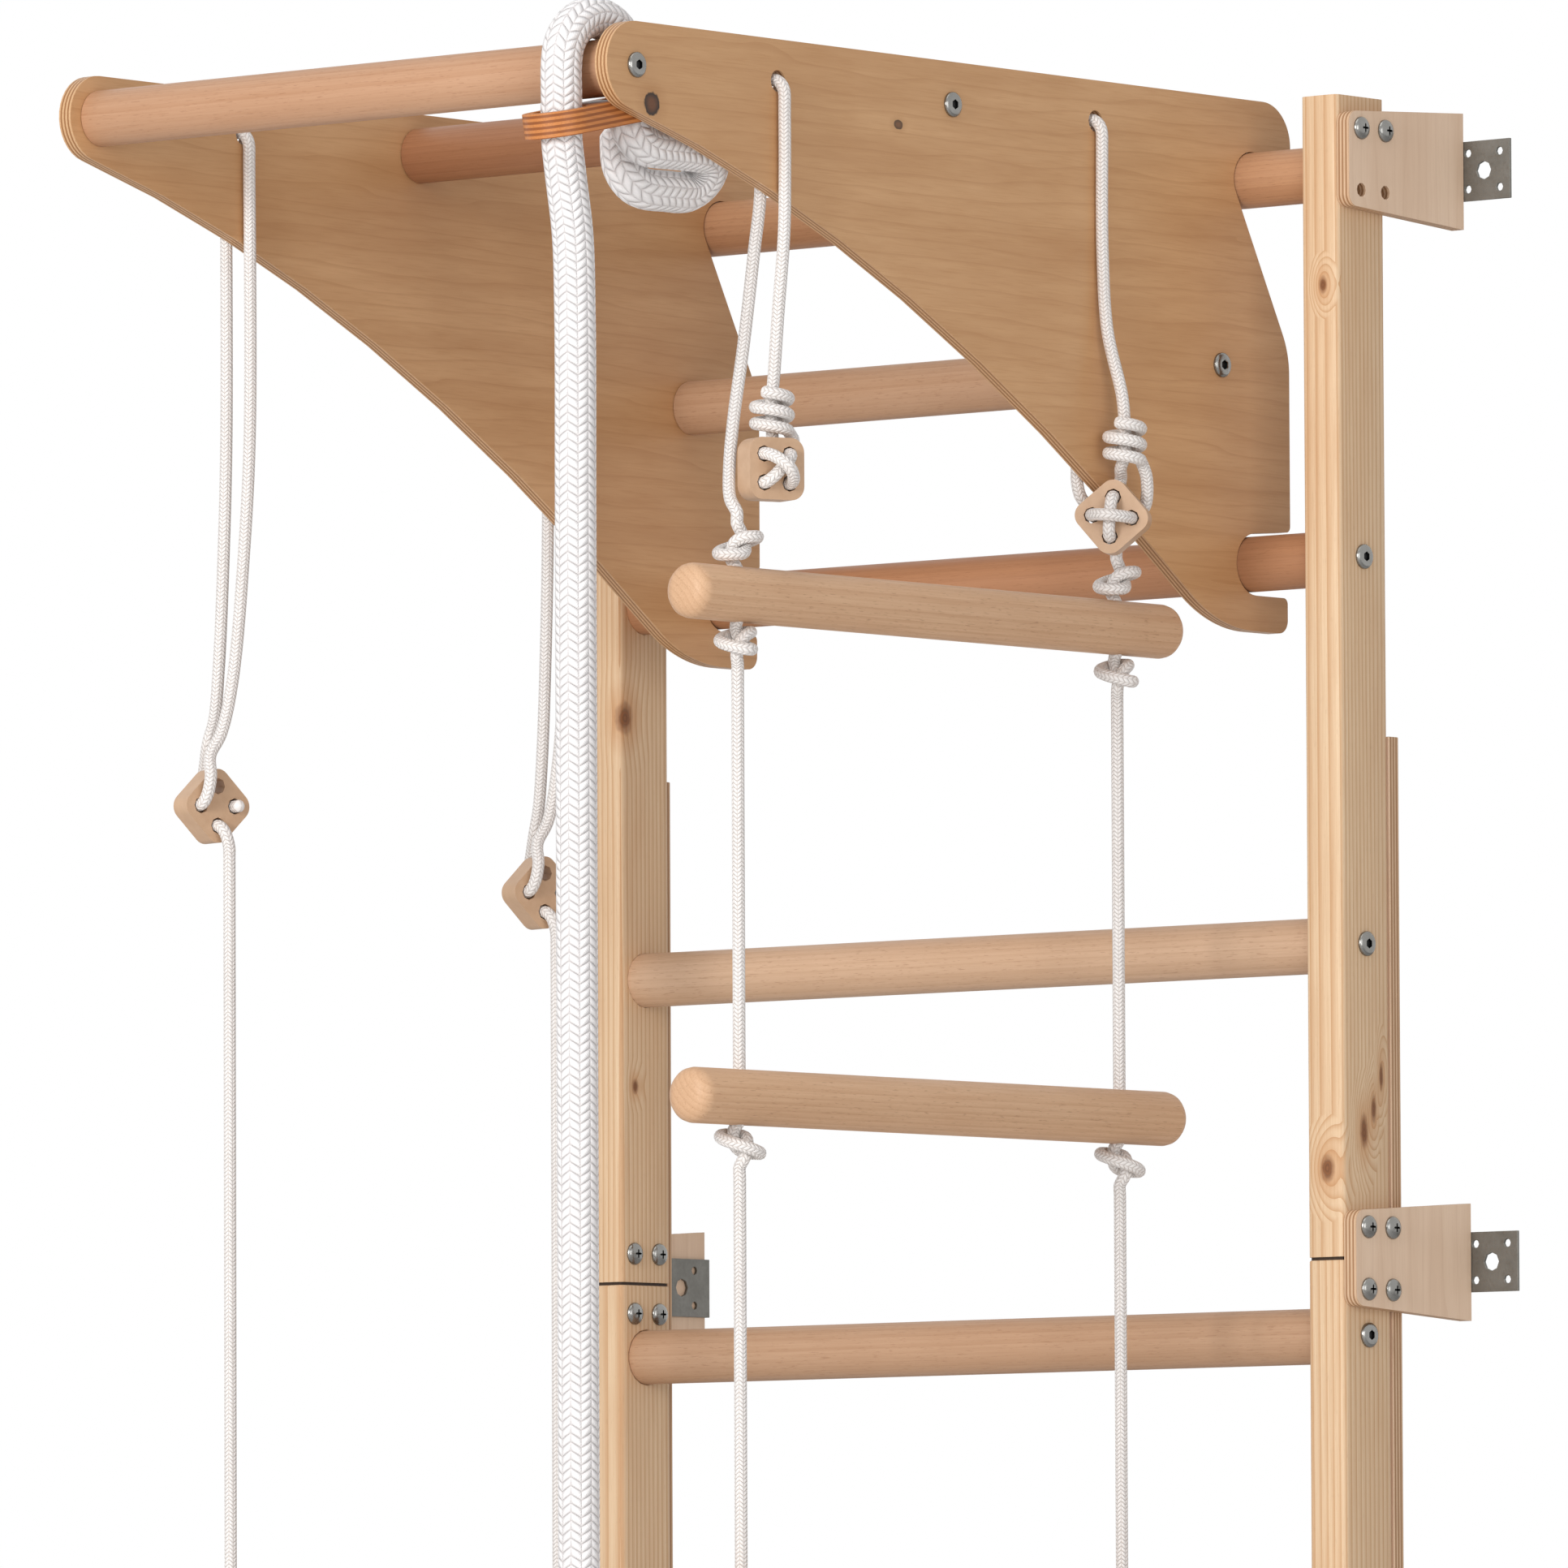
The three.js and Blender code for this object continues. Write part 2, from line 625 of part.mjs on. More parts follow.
// Ring slings: a stub end and a crossing behind the toggle, up one side of the panel and down the other,
// then behind the toggle again and out through its lowest hole
const ringLacing = [
  [12.7, 0, 13.5], [12.7, 0, 8], [12.7, 0, -3], [12.2, 0, -9.5], [8.5, 0, -13], [0, 0, -13.6],
  [-8.5, 0, -13], [-12.2, 0, -9.5], [-12.7, 0, -3], [-12.7, 0, 4], [-12.6, 1.5, 10], [-11.5, 7, 13.5],
  [-9, 18, 13.5], [-6, 32, 8],
];
const ringOutlet = [
  [4, 42, -10], [6, 28, -17], [6.5, 10, -22.3], [5, -6, -22], [1.5, -12, -16], [0.3, -12.6, -10],
  [0, -12.7, -3], [0, -12.7, 4], [0.2, -13.5, 10], [1.5, -18, 14.2], [4, -26.7, 15],
];
const ringPivot = [4, -31, 15];


// Strands between toggle and panel: sideways place, share of the way from hole to toggle, rise over the toggle
const risingStrand = [[7.5, 0.95, 47], [8, 0.55, 82], [9, 0.18, 162], [bendRadius, 0, 242]];
const fallingStrand = [[-bendRadius, 0, 242], [-9.6, 0.14, 162], [-9.5, 0.32, 92], [-9.3, 0.5, 57]];

function ringSling(toggle, holeReach) {
  const upright = toggleFrame(toggle, 0);
  const strand = (list) => list.map(([x, share, rise]) => vec(
    x, THREE.MathUtils.lerp(-holeReach, toggle.centre.y, share), toggle.centre.z + rise));
  return [
    ...placed(upright, ringLacing),
    ...strand(risingStrand),
    ...bendPoints(-holeReach, 1),
    ...strand(fallingStrand),
    ...placed(upright, ringOutlet),
  ];
}

const frontRingSling = ringSling(toggles.ring_front, frontHoleReach);
const rearRingSling = ringSling(toggles.ring_rear, rearHoleReach);
addPiece(cordGroups.get(-1), 'ring_front_sling', cordTube(frontRingSling), finishes.cord);
addPiece(cordGroups.get(-1), 'ring_rear_sling', cordTube(rearRingSling), finishes.cord);

// Least gap of a wound cord to itself, leaving out neighbours along the same bend
function leastGap(route) {
  const curve = new THREE.CatmullRomCurve3(route, false, 'centripetal');
  const samples = curve.getSpacedPoints(Math.round(curve.getLength()));
  const apart = Math.round(Math.PI * cordDiameter);
  let least = Infinity;
  samples.forEach((point, i) => {
    for (let j = i + apart; j < samples.length; j += 1) {
      least = Math.min(least, point.distanceTo(samples[j]));
    }
  });
  return least - cordDiameter;
}
console.log('least gap of the front ladder sling to itself, mm:', leastGap(frontLadderSling()).toFixed(2));
console.log('least gap of the rear ladder sling to itself, mm:', leastGap(rearLadderSling()).toFixed(2));

// Swelling of a tied knot on a straight cord, as rings from its top to its bottom
function knotRings(x, y, z, cord, knot, length) {
  const profile = [[0.5, 1], [0.36, 0.86], [0.12, 1.02], [-0.12, 1.02], [-0.36, 0.86], [-0.5, 1]];
  return profile.map(([share, swell], i) => ({
    centre: vec(x, y, z + share * length),
    radius: i === 0 || i === profile.length - 1 ? cord : knot * swell,
  }));
}

// Climbing rope: hangs in front, goes over the bar, through the keeper and into its stopper knot
const rope = new THREE.Group();
unit.add(rope);
const ropeX = panelX - panelThickness / 2 - keeperWidth / 2 - 0.5;
const loopRadius = dowelDiameter / 2 + ropeRadius + loopGap;
const strandY = -barReach - loopRadius;
const hangY = -barReach - hangLead;
const overBar = Array.from({ length: 9 }, (_, i) => {
  const angle = Math.PI - (i / 8) * Math.PI;
  return vec(ropeX, -barReach + loopRadius * Math.cos(angle), barRise + loopRadius * Math.sin(angle));
});
const climbingLine = [
  vec(ropeX, hangY, -ropeDrop + 2 * endKnotRise), vec(ropeX, hangY, -260), vec(ropeX, hangY, -130),
  vec(ropeX, hangY - 2, -80), vec(ropeX, hangY - 8, -45), vec(ropeX, strandY, -20), vec(ropeX, strandY, 5),
  ...overBar,
  vec(ropeX, -barReach + loopRadius, 5), vec(ropeX - 1, -barReach + loopRadius, -8),
];
const stopper = [
  { centre: vec(ropeX - 2, -577, -14), radius: ropeRadius },
  { centre: vec(ropeX - 6, -571, -22), radius: 20 },
  { centre: vec(ropeX - 9, -562, -33), radius: 25 },
  { centre: vec(ropeX - 10, -553, -43), radius: 24 },
  { centre: vec(ropeX - 10, -545, -52), radius: 14 },
];
const endKnot = [[-34, ropeRadius], [-24, 24], [-8, 30], [8, 30], [24, 24], [34, ropeRadius]].map(
  ([rise, radius]) => ({ centre: vec(ropeX, hangY, -ropeDrop + endKnotRise + rise), radius }));
const ropeRings = [
  { centre: vec(ropeX, hangY, -ropeDrop), radius: ropeRadius },
  ...endKnot,
  ...ringsAlong(climbingLine, ropeRadius, 240, 0.3),
  ...stopper,
];
addPiece(rope, 'climbing_rope', tubeThrough(ropeRings, ropeSides), finishes.cord);

// Keeper: an oval plywood plate with a hole for each strand, tilted with its rear end up
function keeperShape() {
  const half = keeperWidth / 2;
  const reach = loopRadius + keeperEnd / 2 - half;
  const shape = new THREE.Shape();
  shape.absarc(reach, 0, half, -Math.PI / 2, Math.PI / 2);
  shape.absarc(-reach, 0, half, Math.PI / 2, Math.PI * 1.5);
  addRoundHole(shape, loopRadius, 0, keeperHole);
  addRoundHole(shape, -loopRadius, 0, keeperHole);
  return shape;
}
const keeperBlank = new THREE.ExtrudeGeometry(keeperShape(), {
  depth: keeperThickness, bevelEnabled: false, curveSegments: 12,
});
keeperBlank.translate(0, 0, -keeperThickness / 2).rotateZ(Math.PI / 2);
const keeper = addPiece(rope, 'rope_keeper', keeperBlank, finishes.stainedPly);
keeper.position.set(ropeX, -barReach, -keeperDrop);
keeper.rotation.x = keeperTilt;

// Rope ladder: two cords knotted under every rung
const ladder = new THREE.Group();
ladder.position.x = panelX + ladderOffset;
unit.add(ladder);
const ladderMiddle = -(ladderFrontReach + ladderRearReach) / 2;
const rungDrops = Array.from({ length: ladderRungCount }, (_, i) => -ladderFirstDrop - i * ladderPitch);

function ladderRungGeometry() {
  const half = ladderRungLength / 2;
  const radius = ladderRungDiameter / 2;
  const edge = [0, 30, 60, 90].map((turn) => [
    radius - ladderRungEdge + ladderRungEdge * Math.sin(THREE.MathUtils.degToRad(turn)),
    half - ladderRungEdge + ladderRungEdge * Math.cos(THREE.MathUtils.degToRad(turn)),
  ]);
  const profile = [[0, -half], ...edge.map(([r, h]) => [r, -h]), ...edge.reverse(), [0, half]];
  const blank = new THREE.LatheGeometry(profile.map(([r, h]) => new THREE.Vector2(r, h)), 22);
  const bores = [ladderFrontReach, ladderRearReach].map((reach) => roundBar(
    'z', cordDiameter + 2 * cordClearance, 2 * ladderRungDiameter, holeSides).translate(0, -reach - ladderMiddle, 0));
  return cut(blank, bores);
}

const ladderRung = ladderRungGeometry();
rungDrops.forEach((z, i) => {
  addPiece(ladder, `ladder_rung_${i + 1}`, ladderRung, finishes.beech).position.set(0, ladderMiddle, z);
});

// The cord's upper end is a dome about the pivot, so that it turns in place under the toggle
function domeRings(x, y, z, radius) {
  return [80, 50, 20].map((turn) => ({
    centre: vec(x, y, z + radius * Math.sin(THREE.MathUtils.degToRad(turn))),
    radius: radius * Math.cos(THREE.MathUtils.degToRad(turn)),
  }));
}

const knotBelow = ladderRungDiameter / 2 + fitGap + knotLength / 2;
for (const [name, reach] of [['front', ladderFrontReach], ['rear', ladderRearReach]]) {
  const knots = [-ladderFirstDrop + ladderRungDiameter / 2 + knotLength / 2 + 2, ...rungDrops.map((z) => z - knotBelow)];
  const rings = [
    ...domeRings(0, -reach, -ladderPivotDrop, cordRadius),
    ...knots.flatMap((z) => knotRings(0, -reach, z, cordRadius, knotDiameter / 2, knotLength)),
    { centre: vec(0, -reach, knots[knots.length - 1] - 45), radius: cordRadius },
  ];
  addPiece(ladder, `ladder_${name}_rope`, tubeThrough(rings, cordSides), finishes.cord);
}

// Rings: each hangs in a loop at the end of its own cord, under its toggle
const ringMiddle = ringDiameter / 2 - ringSection / 2;
const ringLoop = ringSection / 2 + cordRadius + 0.5;
for (const [name, toggle] of [['front', toggles.ring_front], ['rear', toggles.ring_rear]]) {
  const hang = new THREE.Group();
  hang.position.copy(placed(toggleFrame(toggle, 0), [ringPivot])[0]);
  cordGroups.get(toggle.side).add(hang);
  const knotZ = -ringKnotDrop - hang.position.z;
  const loopZ = knotZ - knotLength / 2 - ringLoop;
  const ringZ = loopZ - ringMiddle;
  const cord = tubeThrough([
    ...domeRings(0, 0, 0, cordRadius),
    ...knotRings(0, 0, knotZ, cordRadius, knotDiameter / 2, knotLength),
  ], cordSides);
  const loop = new THREE.TorusGeometry(ringLoop, cordRadius, cordSides, 16).rotateX(Math.PI / 2);
  addPiece(hang, `ring_${name}_rope`, join([cord, loop.translate(0, 0, loopZ)]), finishes.cord);
  const ring = new THREE.TorusGeometry(ringMiddle, ringSection / 2, 10, 28).rotateY(Math.PI / 2);
  addPiece(hang, `ring_${name}`, ring, finishes.birchPly).position.z = ringZ;
}

export default part;
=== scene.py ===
import json
import math

import bmesh
import bpy
import numpy as np
from mathutils import Matrix, Vector


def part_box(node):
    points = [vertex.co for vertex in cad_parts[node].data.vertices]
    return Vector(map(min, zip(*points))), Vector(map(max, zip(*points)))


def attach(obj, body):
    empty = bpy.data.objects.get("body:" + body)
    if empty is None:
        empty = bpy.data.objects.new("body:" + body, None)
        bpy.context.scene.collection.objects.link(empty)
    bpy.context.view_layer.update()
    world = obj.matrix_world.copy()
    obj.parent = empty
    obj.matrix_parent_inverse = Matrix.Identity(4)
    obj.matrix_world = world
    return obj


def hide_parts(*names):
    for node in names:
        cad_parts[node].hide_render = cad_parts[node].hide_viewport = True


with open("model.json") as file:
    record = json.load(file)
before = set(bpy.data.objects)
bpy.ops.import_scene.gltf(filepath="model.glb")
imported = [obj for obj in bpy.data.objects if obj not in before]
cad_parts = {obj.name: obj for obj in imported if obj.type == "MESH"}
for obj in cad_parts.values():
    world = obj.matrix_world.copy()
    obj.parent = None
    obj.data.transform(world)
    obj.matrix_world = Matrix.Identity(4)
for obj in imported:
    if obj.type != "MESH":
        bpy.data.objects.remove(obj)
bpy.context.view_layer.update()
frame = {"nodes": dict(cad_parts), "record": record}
nodes = frame["nodes"]
mm = 0.001

# The pull-up unit's own origin, on the axis of the top rung, and the middle planes of its panels
unitOrigin = np.array([0.0, -97.0, 2206.0])
panelMiddle = 227.0
bodyOf = {node: body for body, members in frame["record"]["behaviour"]["bodies"].items() for node in members}


# Camera: the photograph's own viewpoint. The focal length is 19642 pixels on a square frame of 1932 pixels.
sensorWidth = 36
cameraFacts = {
    "place": (6.684, -8.1386, 1.121), "yaw": 40.44, "pitch": 3.85, "roll": -0.24,
    "focal": 19642 / 1932 * sensorWidth,
}


def makeCamera(facts):
    yaw, pitch, roll = (math.radians(facts[k]) for k in ("yaw", "pitch", "roll"))
    ahead = Vector((-math.sin(yaw) * math.cos(pitch), math.cos(yaw) * math.cos(pitch), math.sin(pitch)))
    right = Vector((math.cos(yaw), math.sin(yaw), 0))
    up = right.cross(ahead)
    rolledRight = right * math.cos(roll) + up * math.sin(roll)
    rolledUp = up * math.cos(roll) - right * math.sin(roll)
    data = bpy.data.cameras.new("camera")
    data.sensor_width = sensorWidth
    data.lens = facts["focal"]
    data.clip_end = 100
    camera = bpy.data.objects.new("camera", data)
    bpy.context.scene.collection.objects.link(camera)
    turn = Matrix((rolledRight, rolledUp, -ahead)).transposed().to_4x4()
    camera.matrix_world = Matrix.Translation(facts["place"]) @ turn
    bpy.context.scene.camera = camera


makeCamera(cameraFacts)
print("camera set")


# Shader helpers
def linear(code):
    parts = [int(code[i:i + 2], 16) / 255 for i in (1, 3, 5)]
    return [c / 12.92 if c <= 0.04045 else ((c + 0.055) / 1.055) ** 2.4 for c in parts] + [1.0]


def addNode(tree, kind, values=None, **settings):
    node = tree.nodes.new(kind)
    for key, value in settings.items():
        setattr(node, key, value)
    for key, value in (values or {}).items():
        if isinstance(value, bpy.types.NodeSocket):
            tree.links.new(value, node.inputs[key])
        else:
            node.inputs[key].default_value = value
    return node


def newMaterial(name):
    material = bpy.data.materials.new(name)
    material.use_nodes = True
    tree = material.node_tree
    return material, tree, tree.nodes["Principled BSDF"]


def mixed(tree, factor, first, second):
    return addNode(tree, "ShaderNodeMix", {0: factor, 6: first, 7: second}, data_type="RGBA",
                   clamp_factor=True).outputs[2]


def maths(tree, operation, first, second=0.0):
    return addNode(tree, "ShaderNodeMath", {0: first, 1: second}, operation=operation).outputs[0]


def ranged(tree, value, low, high, toLow=0.0, toHigh=1.0):
    return addNode(tree, "ShaderNodeMapRange", {
        "Value": value, "From Min": low, "From Max": high, "To Min": toLow, "To Max": toHigh,
    }).outputs[0]


def objectPlace(tree, shift=(0, 0, 0), stretch=(1, 1, 1)):
    place = addNode(tree, "ShaderNodeTexCoord").outputs["Object"]
    return addNode(tree, "ShaderNodeMapping", {
        "Vector": place, "Location": shift, "Scale": stretch,
    }).outputs[0]


def noiseOf(tree, place, scale, detail=3.0, roughness=0.55):
    return addNode(tree, "ShaderNodeTexNoise", {
        "Vector": place, "Scale": scale, "Detail": detail, "Roughness": roughness,
    }).outputs[0]


# Scale factors that draw a pattern out along the grain, and noise drawn out by them
def stretched(grain, share):
    return [share if axis == grain else 1.0 for axis in "XYZ"]


def noiseAlong(tree, grain, share, shift, scale, detail):
    return noiseOf(tree, objectPlace(tree, shift, stretched(grain, share)), scale, detail)


# A distance made uneven by noise
def uneven(tree, away, scale):
    return maths(tree, "ADD", away, maths(tree, "MULTIPLY", noiseOf(tree, objectPlace(tree), scale, 2), 0.35))


def dotted(tree, vector, direction):
    return addNode(tree, "ShaderNodeVectorMath", {0: vector, 1: direction}, operation="DOT_PRODUCT").outputs["Value"]


def addBump(tree, shader, strength, distance, height):
    bump = addNode(tree, "ShaderNodeBump", {"Strength": strength, "Distance": distance, "Height": height})
    tree.links.new(bump.outputs[0], shader.inputs["Normal"])


def distanceTo(tree, centre, size):
    place = addNode(tree, "ShaderNodeTexCoord").outputs["Object"]
    away = addNode(tree, "ShaderNodeVectorMath", {0: place, 1: [c * mm for c in centre]}, operation="SUBTRACT")
    scaled = addNode(tree, "ShaderNodeVectorMath", {0: away.outputs[0], 1: [1 / (s * mm) for s in size]},
                     operation="MULTIPLY")
    return addNode(tree, "ShaderNodeVectorMath", {0: scaled.outputs[0]}, operation="LENGTH").outputs["Value"]


# Solid wood: growth rings about a pith beside the piece, warped by slow noise, with fibres along the grain,
# pore flecks and branch knots. Lengths in mm; grain is the axis that the fibres follow.
def woodMaterial(name, pale, dark, grain, pith, ring, contrast, fleck, knots=(), roughness=0.5, warp=7.0):
    material, tree, shader = newMaterial(name)
    squash = stretched(grain, 0.045)
    place = objectPlace(tree, [-p * mm * q for p, q in zip(pith, squash)], squash)
    distances = [distanceTo(tree, centre, size) for centre, size in knots]
    for away in distances:
        near = ranged(tree, away, 0.6, 3.2, 0.011, 0.0)
        place = addNode(tree, "ShaderNodeVectorMath", {0: place, 1: near}, operation="ADD").outputs[0]
    rings = addNode(tree, "ShaderNodeTexWave", {
        "Vector": place, "Scale": 2 * math.pi / 20 / (ring * mm), "Distortion": warp, "Detail": 2.0,
        "Detail Scale": 0.12, "Detail Roughness": 0.5,
    }, wave_type="RINGS", rings_direction=grain, wave_profile="SAW").outputs["Fac"]
    late = maths(tree, "POWER", ranged(tree, rings, 0.35, 1.0), 1.7)
    fibres = noiseAlong(tree, grain, 0.02, pith, 900, 4)
    slow = noiseAlong(tree, grain, 0.25, pith, 22, 2)
    colour = mixed(tree, maths(tree, "MULTIPLY", late, contrast), linear(pale), linear(dark))
    colour = mixed(tree, ranged(tree, fibres, 0.38, 0.75, 0.0, 0.30), colour, linear(dark))
    colour = mixed(tree, ranged(tree, slow, 0.3, 0.7, 0.0, 0.22), colour, linear(dark))
    flecks = ranged(tree, noiseAlong(tree, grain, 0.09, pith, 1500, 1), 0.62, 0.72, 0.0, fleck)
    colour = mixed(tree, flecks, colour, linear("#8a5a38"))
    for away in distances:
        halo = ranged(tree, away, 0.7, 2.2, 0.45, 0.0)
        colour = mixed(tree, halo, colour, linear("#b9793f"))
        wobble = uneven(tree, away, 160)
        heart = ranged(tree, wobble, 0.55, 1.15, 0.92, 0.0)
        rimRings = ranged(tree, maths(tree, "SINE", maths(tree, "MULTIPLY", wobble, 22.0)), -1, 1, 0.0, 0.5)
        heartColour = mixed(tree, rimRings, linear("#7d4a26"), linear("#4a2814"))
        colour = mixed(tree, heart, colour, heartColour)
    tree.links.new(colour, shader.inputs["Base Color"])
    tree.links.new(ranged(tree, fibres, 0.3, 0.7, roughness - 0.07, roughness + 0.08), shader.inputs["Roughness"])
    addBump(tree, shader, 0.18, 0.0004, fibres)
    shader.inputs["Specular IOR Level"].default_value = 0.35
    return material


# Plywood: a peeled face veneer with a slow watery figure, and edges of veneers laid across the thickness.
# across is the direction through the plies, grain the axis of the face veneer's fibres.
def plyMaterial(name, pale, dark, edgePale, edgeDark, across, grain, plies, start, roughness=0.42, knots=()):
    material, tree, shader = newMaterial(name)
    place = objectPlace(tree, (0.3, 0.1, 0.7), stretched(grain, 0.11))
    figure = noiseOf(tree, place, 46, 5, 0.6)
    lines = addNode(tree, "ShaderNodeTexWave", {
        "Vector": place, "Scale": 26.0, "Distortion": 14.0, "Detail": 3.0, "Detail Scale": 0.7,
        "Detail Roughness": 0.6,
    }, wave_type="BANDS", bands_direction="Y" if grain == "Z" else "Z", wave_profile="SAW").outputs["Fac"]
    fine = noiseAlong(tree, grain, 0.035, (0, 0, 0), 1100, 3)
    cloud = noiseOf(tree, objectPlace(tree, (0.4, 0.9, 0.2)), 7, 2)
    colour = mixed(tree, ranged(tree, figure, 0.32, 0.70, 0.0, 0.55), linear(pale), linear(dark))
    colour = mixed(tree, ranged(tree, lines, 0.78, 1.0, 0.0, 0.36), colour, linear(dark))
    colour = mixed(tree, ranged(tree, fine, 0.50, 0.78, 0.0, 0.34), colour, linear(dark))
    colour = mixed(tree, ranged(tree, cloud, 0.35, 0.70, 0.0, 0.30), colour, linear(dark))
    for centre, size, strength in knots:
        away = distanceTo(tree, centre, size)
        wobble = uneven(tree, away, 300)
        colour = mixed(tree, ranged(tree, wobble, 0.9, 2.4, 0.35 * strength, 0.0), colour, linear("#9c6a3a"))
        heart = mixed(tree, ranged(tree, wobble, 0.5, 1.0), linear("#61391f"), linear("#1d0f08"))
        colour = mixed(tree, ranged(tree, wobble, 1.05, 1.2, strength, 0.0), colour, heart)
    coordinates = addNode(tree, "ShaderNodeTexCoord")
    depth = dotted(tree, coordinates.outputs["Object"], across)
    facing = dotted(tree, coordinates.outputs["Normal"], across)
    pitch = plies["thickness"] * mm / plies["count"]
    layer = maths(tree, "FRACT", maths(tree, "DIVIDE", maths(tree, "SUBTRACT", depth, start * mm), 2 * pitch))
    darkVeneer = maths(tree, "MULTIPLY", ranged(tree, layer, 0.42, 0.54), ranged(tree, layer, 1.0, 0.92))
    edgeColour = mixed(tree, darkVeneer, linear(edgePale), linear(edgeDark))
    edgeColour = mixed(tree, ranged(tree, fine, 0.40, 0.75, 0.0, 0.35), edgeColour, linear(edgeDark))
    onFace = ranged(tree, maths(tree, "ABSOLUTE", facing), 0.55, 0.75)
    tree.links.new(mixed(tree, onFace, edgeColour, colour), shader.inputs["Base Color"])
    tree.links.new(ranged(tree, fine, 0.3, 0.7, roughness - 0.05, roughness + 0.07), shader.inputs["Roughness"])
    addBump(tree, shader, 0.12, 0.0004, fine)
    shader.inputs["Specular IOR Level"].default_value = 0.4
    return material


# Braid: leaning stitches in columns round the cord, each column half a stitch behind the last and leaning the
# other way. The UV map holds mm along the cord and turns round it.
def braidMaterial(name, colour, shade, columns, stitch, lean, depth):
    material, tree, shader = newMaterial(name)
    uv = addNode(tree, "ShaderNodeSeparateXYZ", {0: addNode(tree, "ShaderNodeTexCoord").outputs["UV"]})
    along = maths(tree, "DIVIDE", uv.outputs["X"], stitch)
    turns = maths(tree, "MULTIPLY", uv.outputs["Y"], columns)
    zigzag = maths(tree, "PINGPONG", turns, 1.0)
    phase = maths(tree, "ADD", along, maths(tree, "MULTIPLY", zigzag, lean))
    wave = maths(tree, "ABSOLUTE", maths(tree, "SINE", maths(tree, "MULTIPLY", phase, math.pi)))
    stitchHeight = maths(tree, "POWER", wave, 0.6)
    column = maths(tree, "ABSOLUTE", maths(tree, "SINE", maths(tree, "MULTIPLY", turns, math.pi)))
    columnHeight = maths(tree, "ADD", maths(tree, "MULTIPLY", maths(tree, "POWER", column, 0.6), 0.7), 0.3)
    height = maths(tree, "MULTIPLY", stitchHeight, columnHeight)
    yarnPhase = maths(tree, "SUBTRACT", maths(tree, "MULTIPLY", zigzag, 4.0), maths(tree, "MULTIPLY", along, 3.0))
    yarn = maths(tree, "ABSOLUTE", maths(tree, "SINE", maths(tree, "MULTIPLY", yarnPhase, math.pi)))
    relief = maths(tree, "ADD", height, maths(tree, "MULTIPLY", yarn, 0.07))
    soil = noiseOf(tree, objectPlace(tree), 30, 3)
    # Painted shade: the colour turns to the shade colour where the stitch height is low, in the grooves between
    # stitches; soiling noise then darkens it to the same colour at random
    tint = mixed(tree, ranged(tree, height, 0.12, 0.7, 0.75, 0.0), linear(colour), linear(shade))
    tint = mixed(tree, ranged(tree, soil, 0.45, 0.75, 0.0, 0.2), tint, linear(shade))
    tree.links.new(tint, shader.inputs["Base Color"])
    shader.inputs["Roughness"].default_value = 0.42
    shader.inputs["Sheen Weight"].default_value = 0.15
    shader.inputs["Specular IOR Level"].default_value = 0.45
    addBump(tree, shader, 1.0, depth * mm, relief)
    return material


# Metal with a fine grain of scratches and a slow change of tone
def metalMaterial(name, colour, dark, roughness, grainScale):
    material, tree, shader = newMaterial(name)
    grainNoise = noiseOf(tree, objectPlace(tree), grainScale, 3)
    cloud = noiseOf(tree, objectPlace(tree), 60, 2)
    tint = mixed(tree, ranged(tree, cloud, 0.35, 0.7, 0.0, 0.5), linear(colour), linear(dark))
    tree.links.new(tint, shader.inputs["Base Color"])
    tree.links.new(ranged(tree, grainNoise, 0.3, 0.7, roughness - 0.08, roughness + 0.1), shader.inputs["Roughness"])
    shader.inputs["Metallic"].default_value = 1.0
    addBump(tree, shader, 0.08, 0.0002, grainNoise)
    return material


# Moulded plastic with faint mottling
def plasticMaterial(name, colour, dark):
    material, tree, shader = newMaterial(name)
    mottle = noiseOf(tree, objectPlace(tree), 180, 3)
    tint = mixed(tree, ranged(tree, mottle, 0.35, 0.7, 0.0, 0.35), linear(colour), linear(dark))
    tree.links.new(tint, shader.inputs["Base Color"])
    shader.inputs["Roughness"].default_value = 0.42
    addBump(tree, shader, 0.06, 0.0003, mottle)
    return material


# Surfaces from numpy
def makeObject(name, points, faces, material, uvs=None, smooth=True):
    mesh = bpy.data.meshes.new(name)
    mesh.from_pydata([tuple(p) for p in np.asarray(points) * mm], [], [tuple(f) for f in faces])
    if uvs is not None:
        layer = mesh.uv_layers.new(name="strand")
        layer.data.foreach_set("uv", np.asarray(uvs, np.float32).ravel())
    mesh.polygons.foreach_set("use_smooth", [smooth] * len(mesh.polygons))
    mesh.materials.append(material)
    mesh.update()
    made = bpy.data.objects.new(name, mesh)
    bpy.context.scene.collection.objects.link(made)
    return made


def dress(made, body, slot, *replaced):
    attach(made, body)
    if replaced:
        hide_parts(*replaced)
    return made


def bevelled(made, width, segments=2, angle=35):
    bevel = made.modifiers.new("edges", "BEVEL")
    bevel.width = width * mm
    bevel.segments = segments
    bevel.limit_method = "ANGLE"
    bevel.angle_limit = math.radians(angle)
    bevel.harden_normals = True
    return made


def markSharp(work, angle):
    for edge in work.edges:
        if len(edge.link_faces) == 2 and edge.calc_face_angle() > math.radians(angle):
            edge.smooth = False


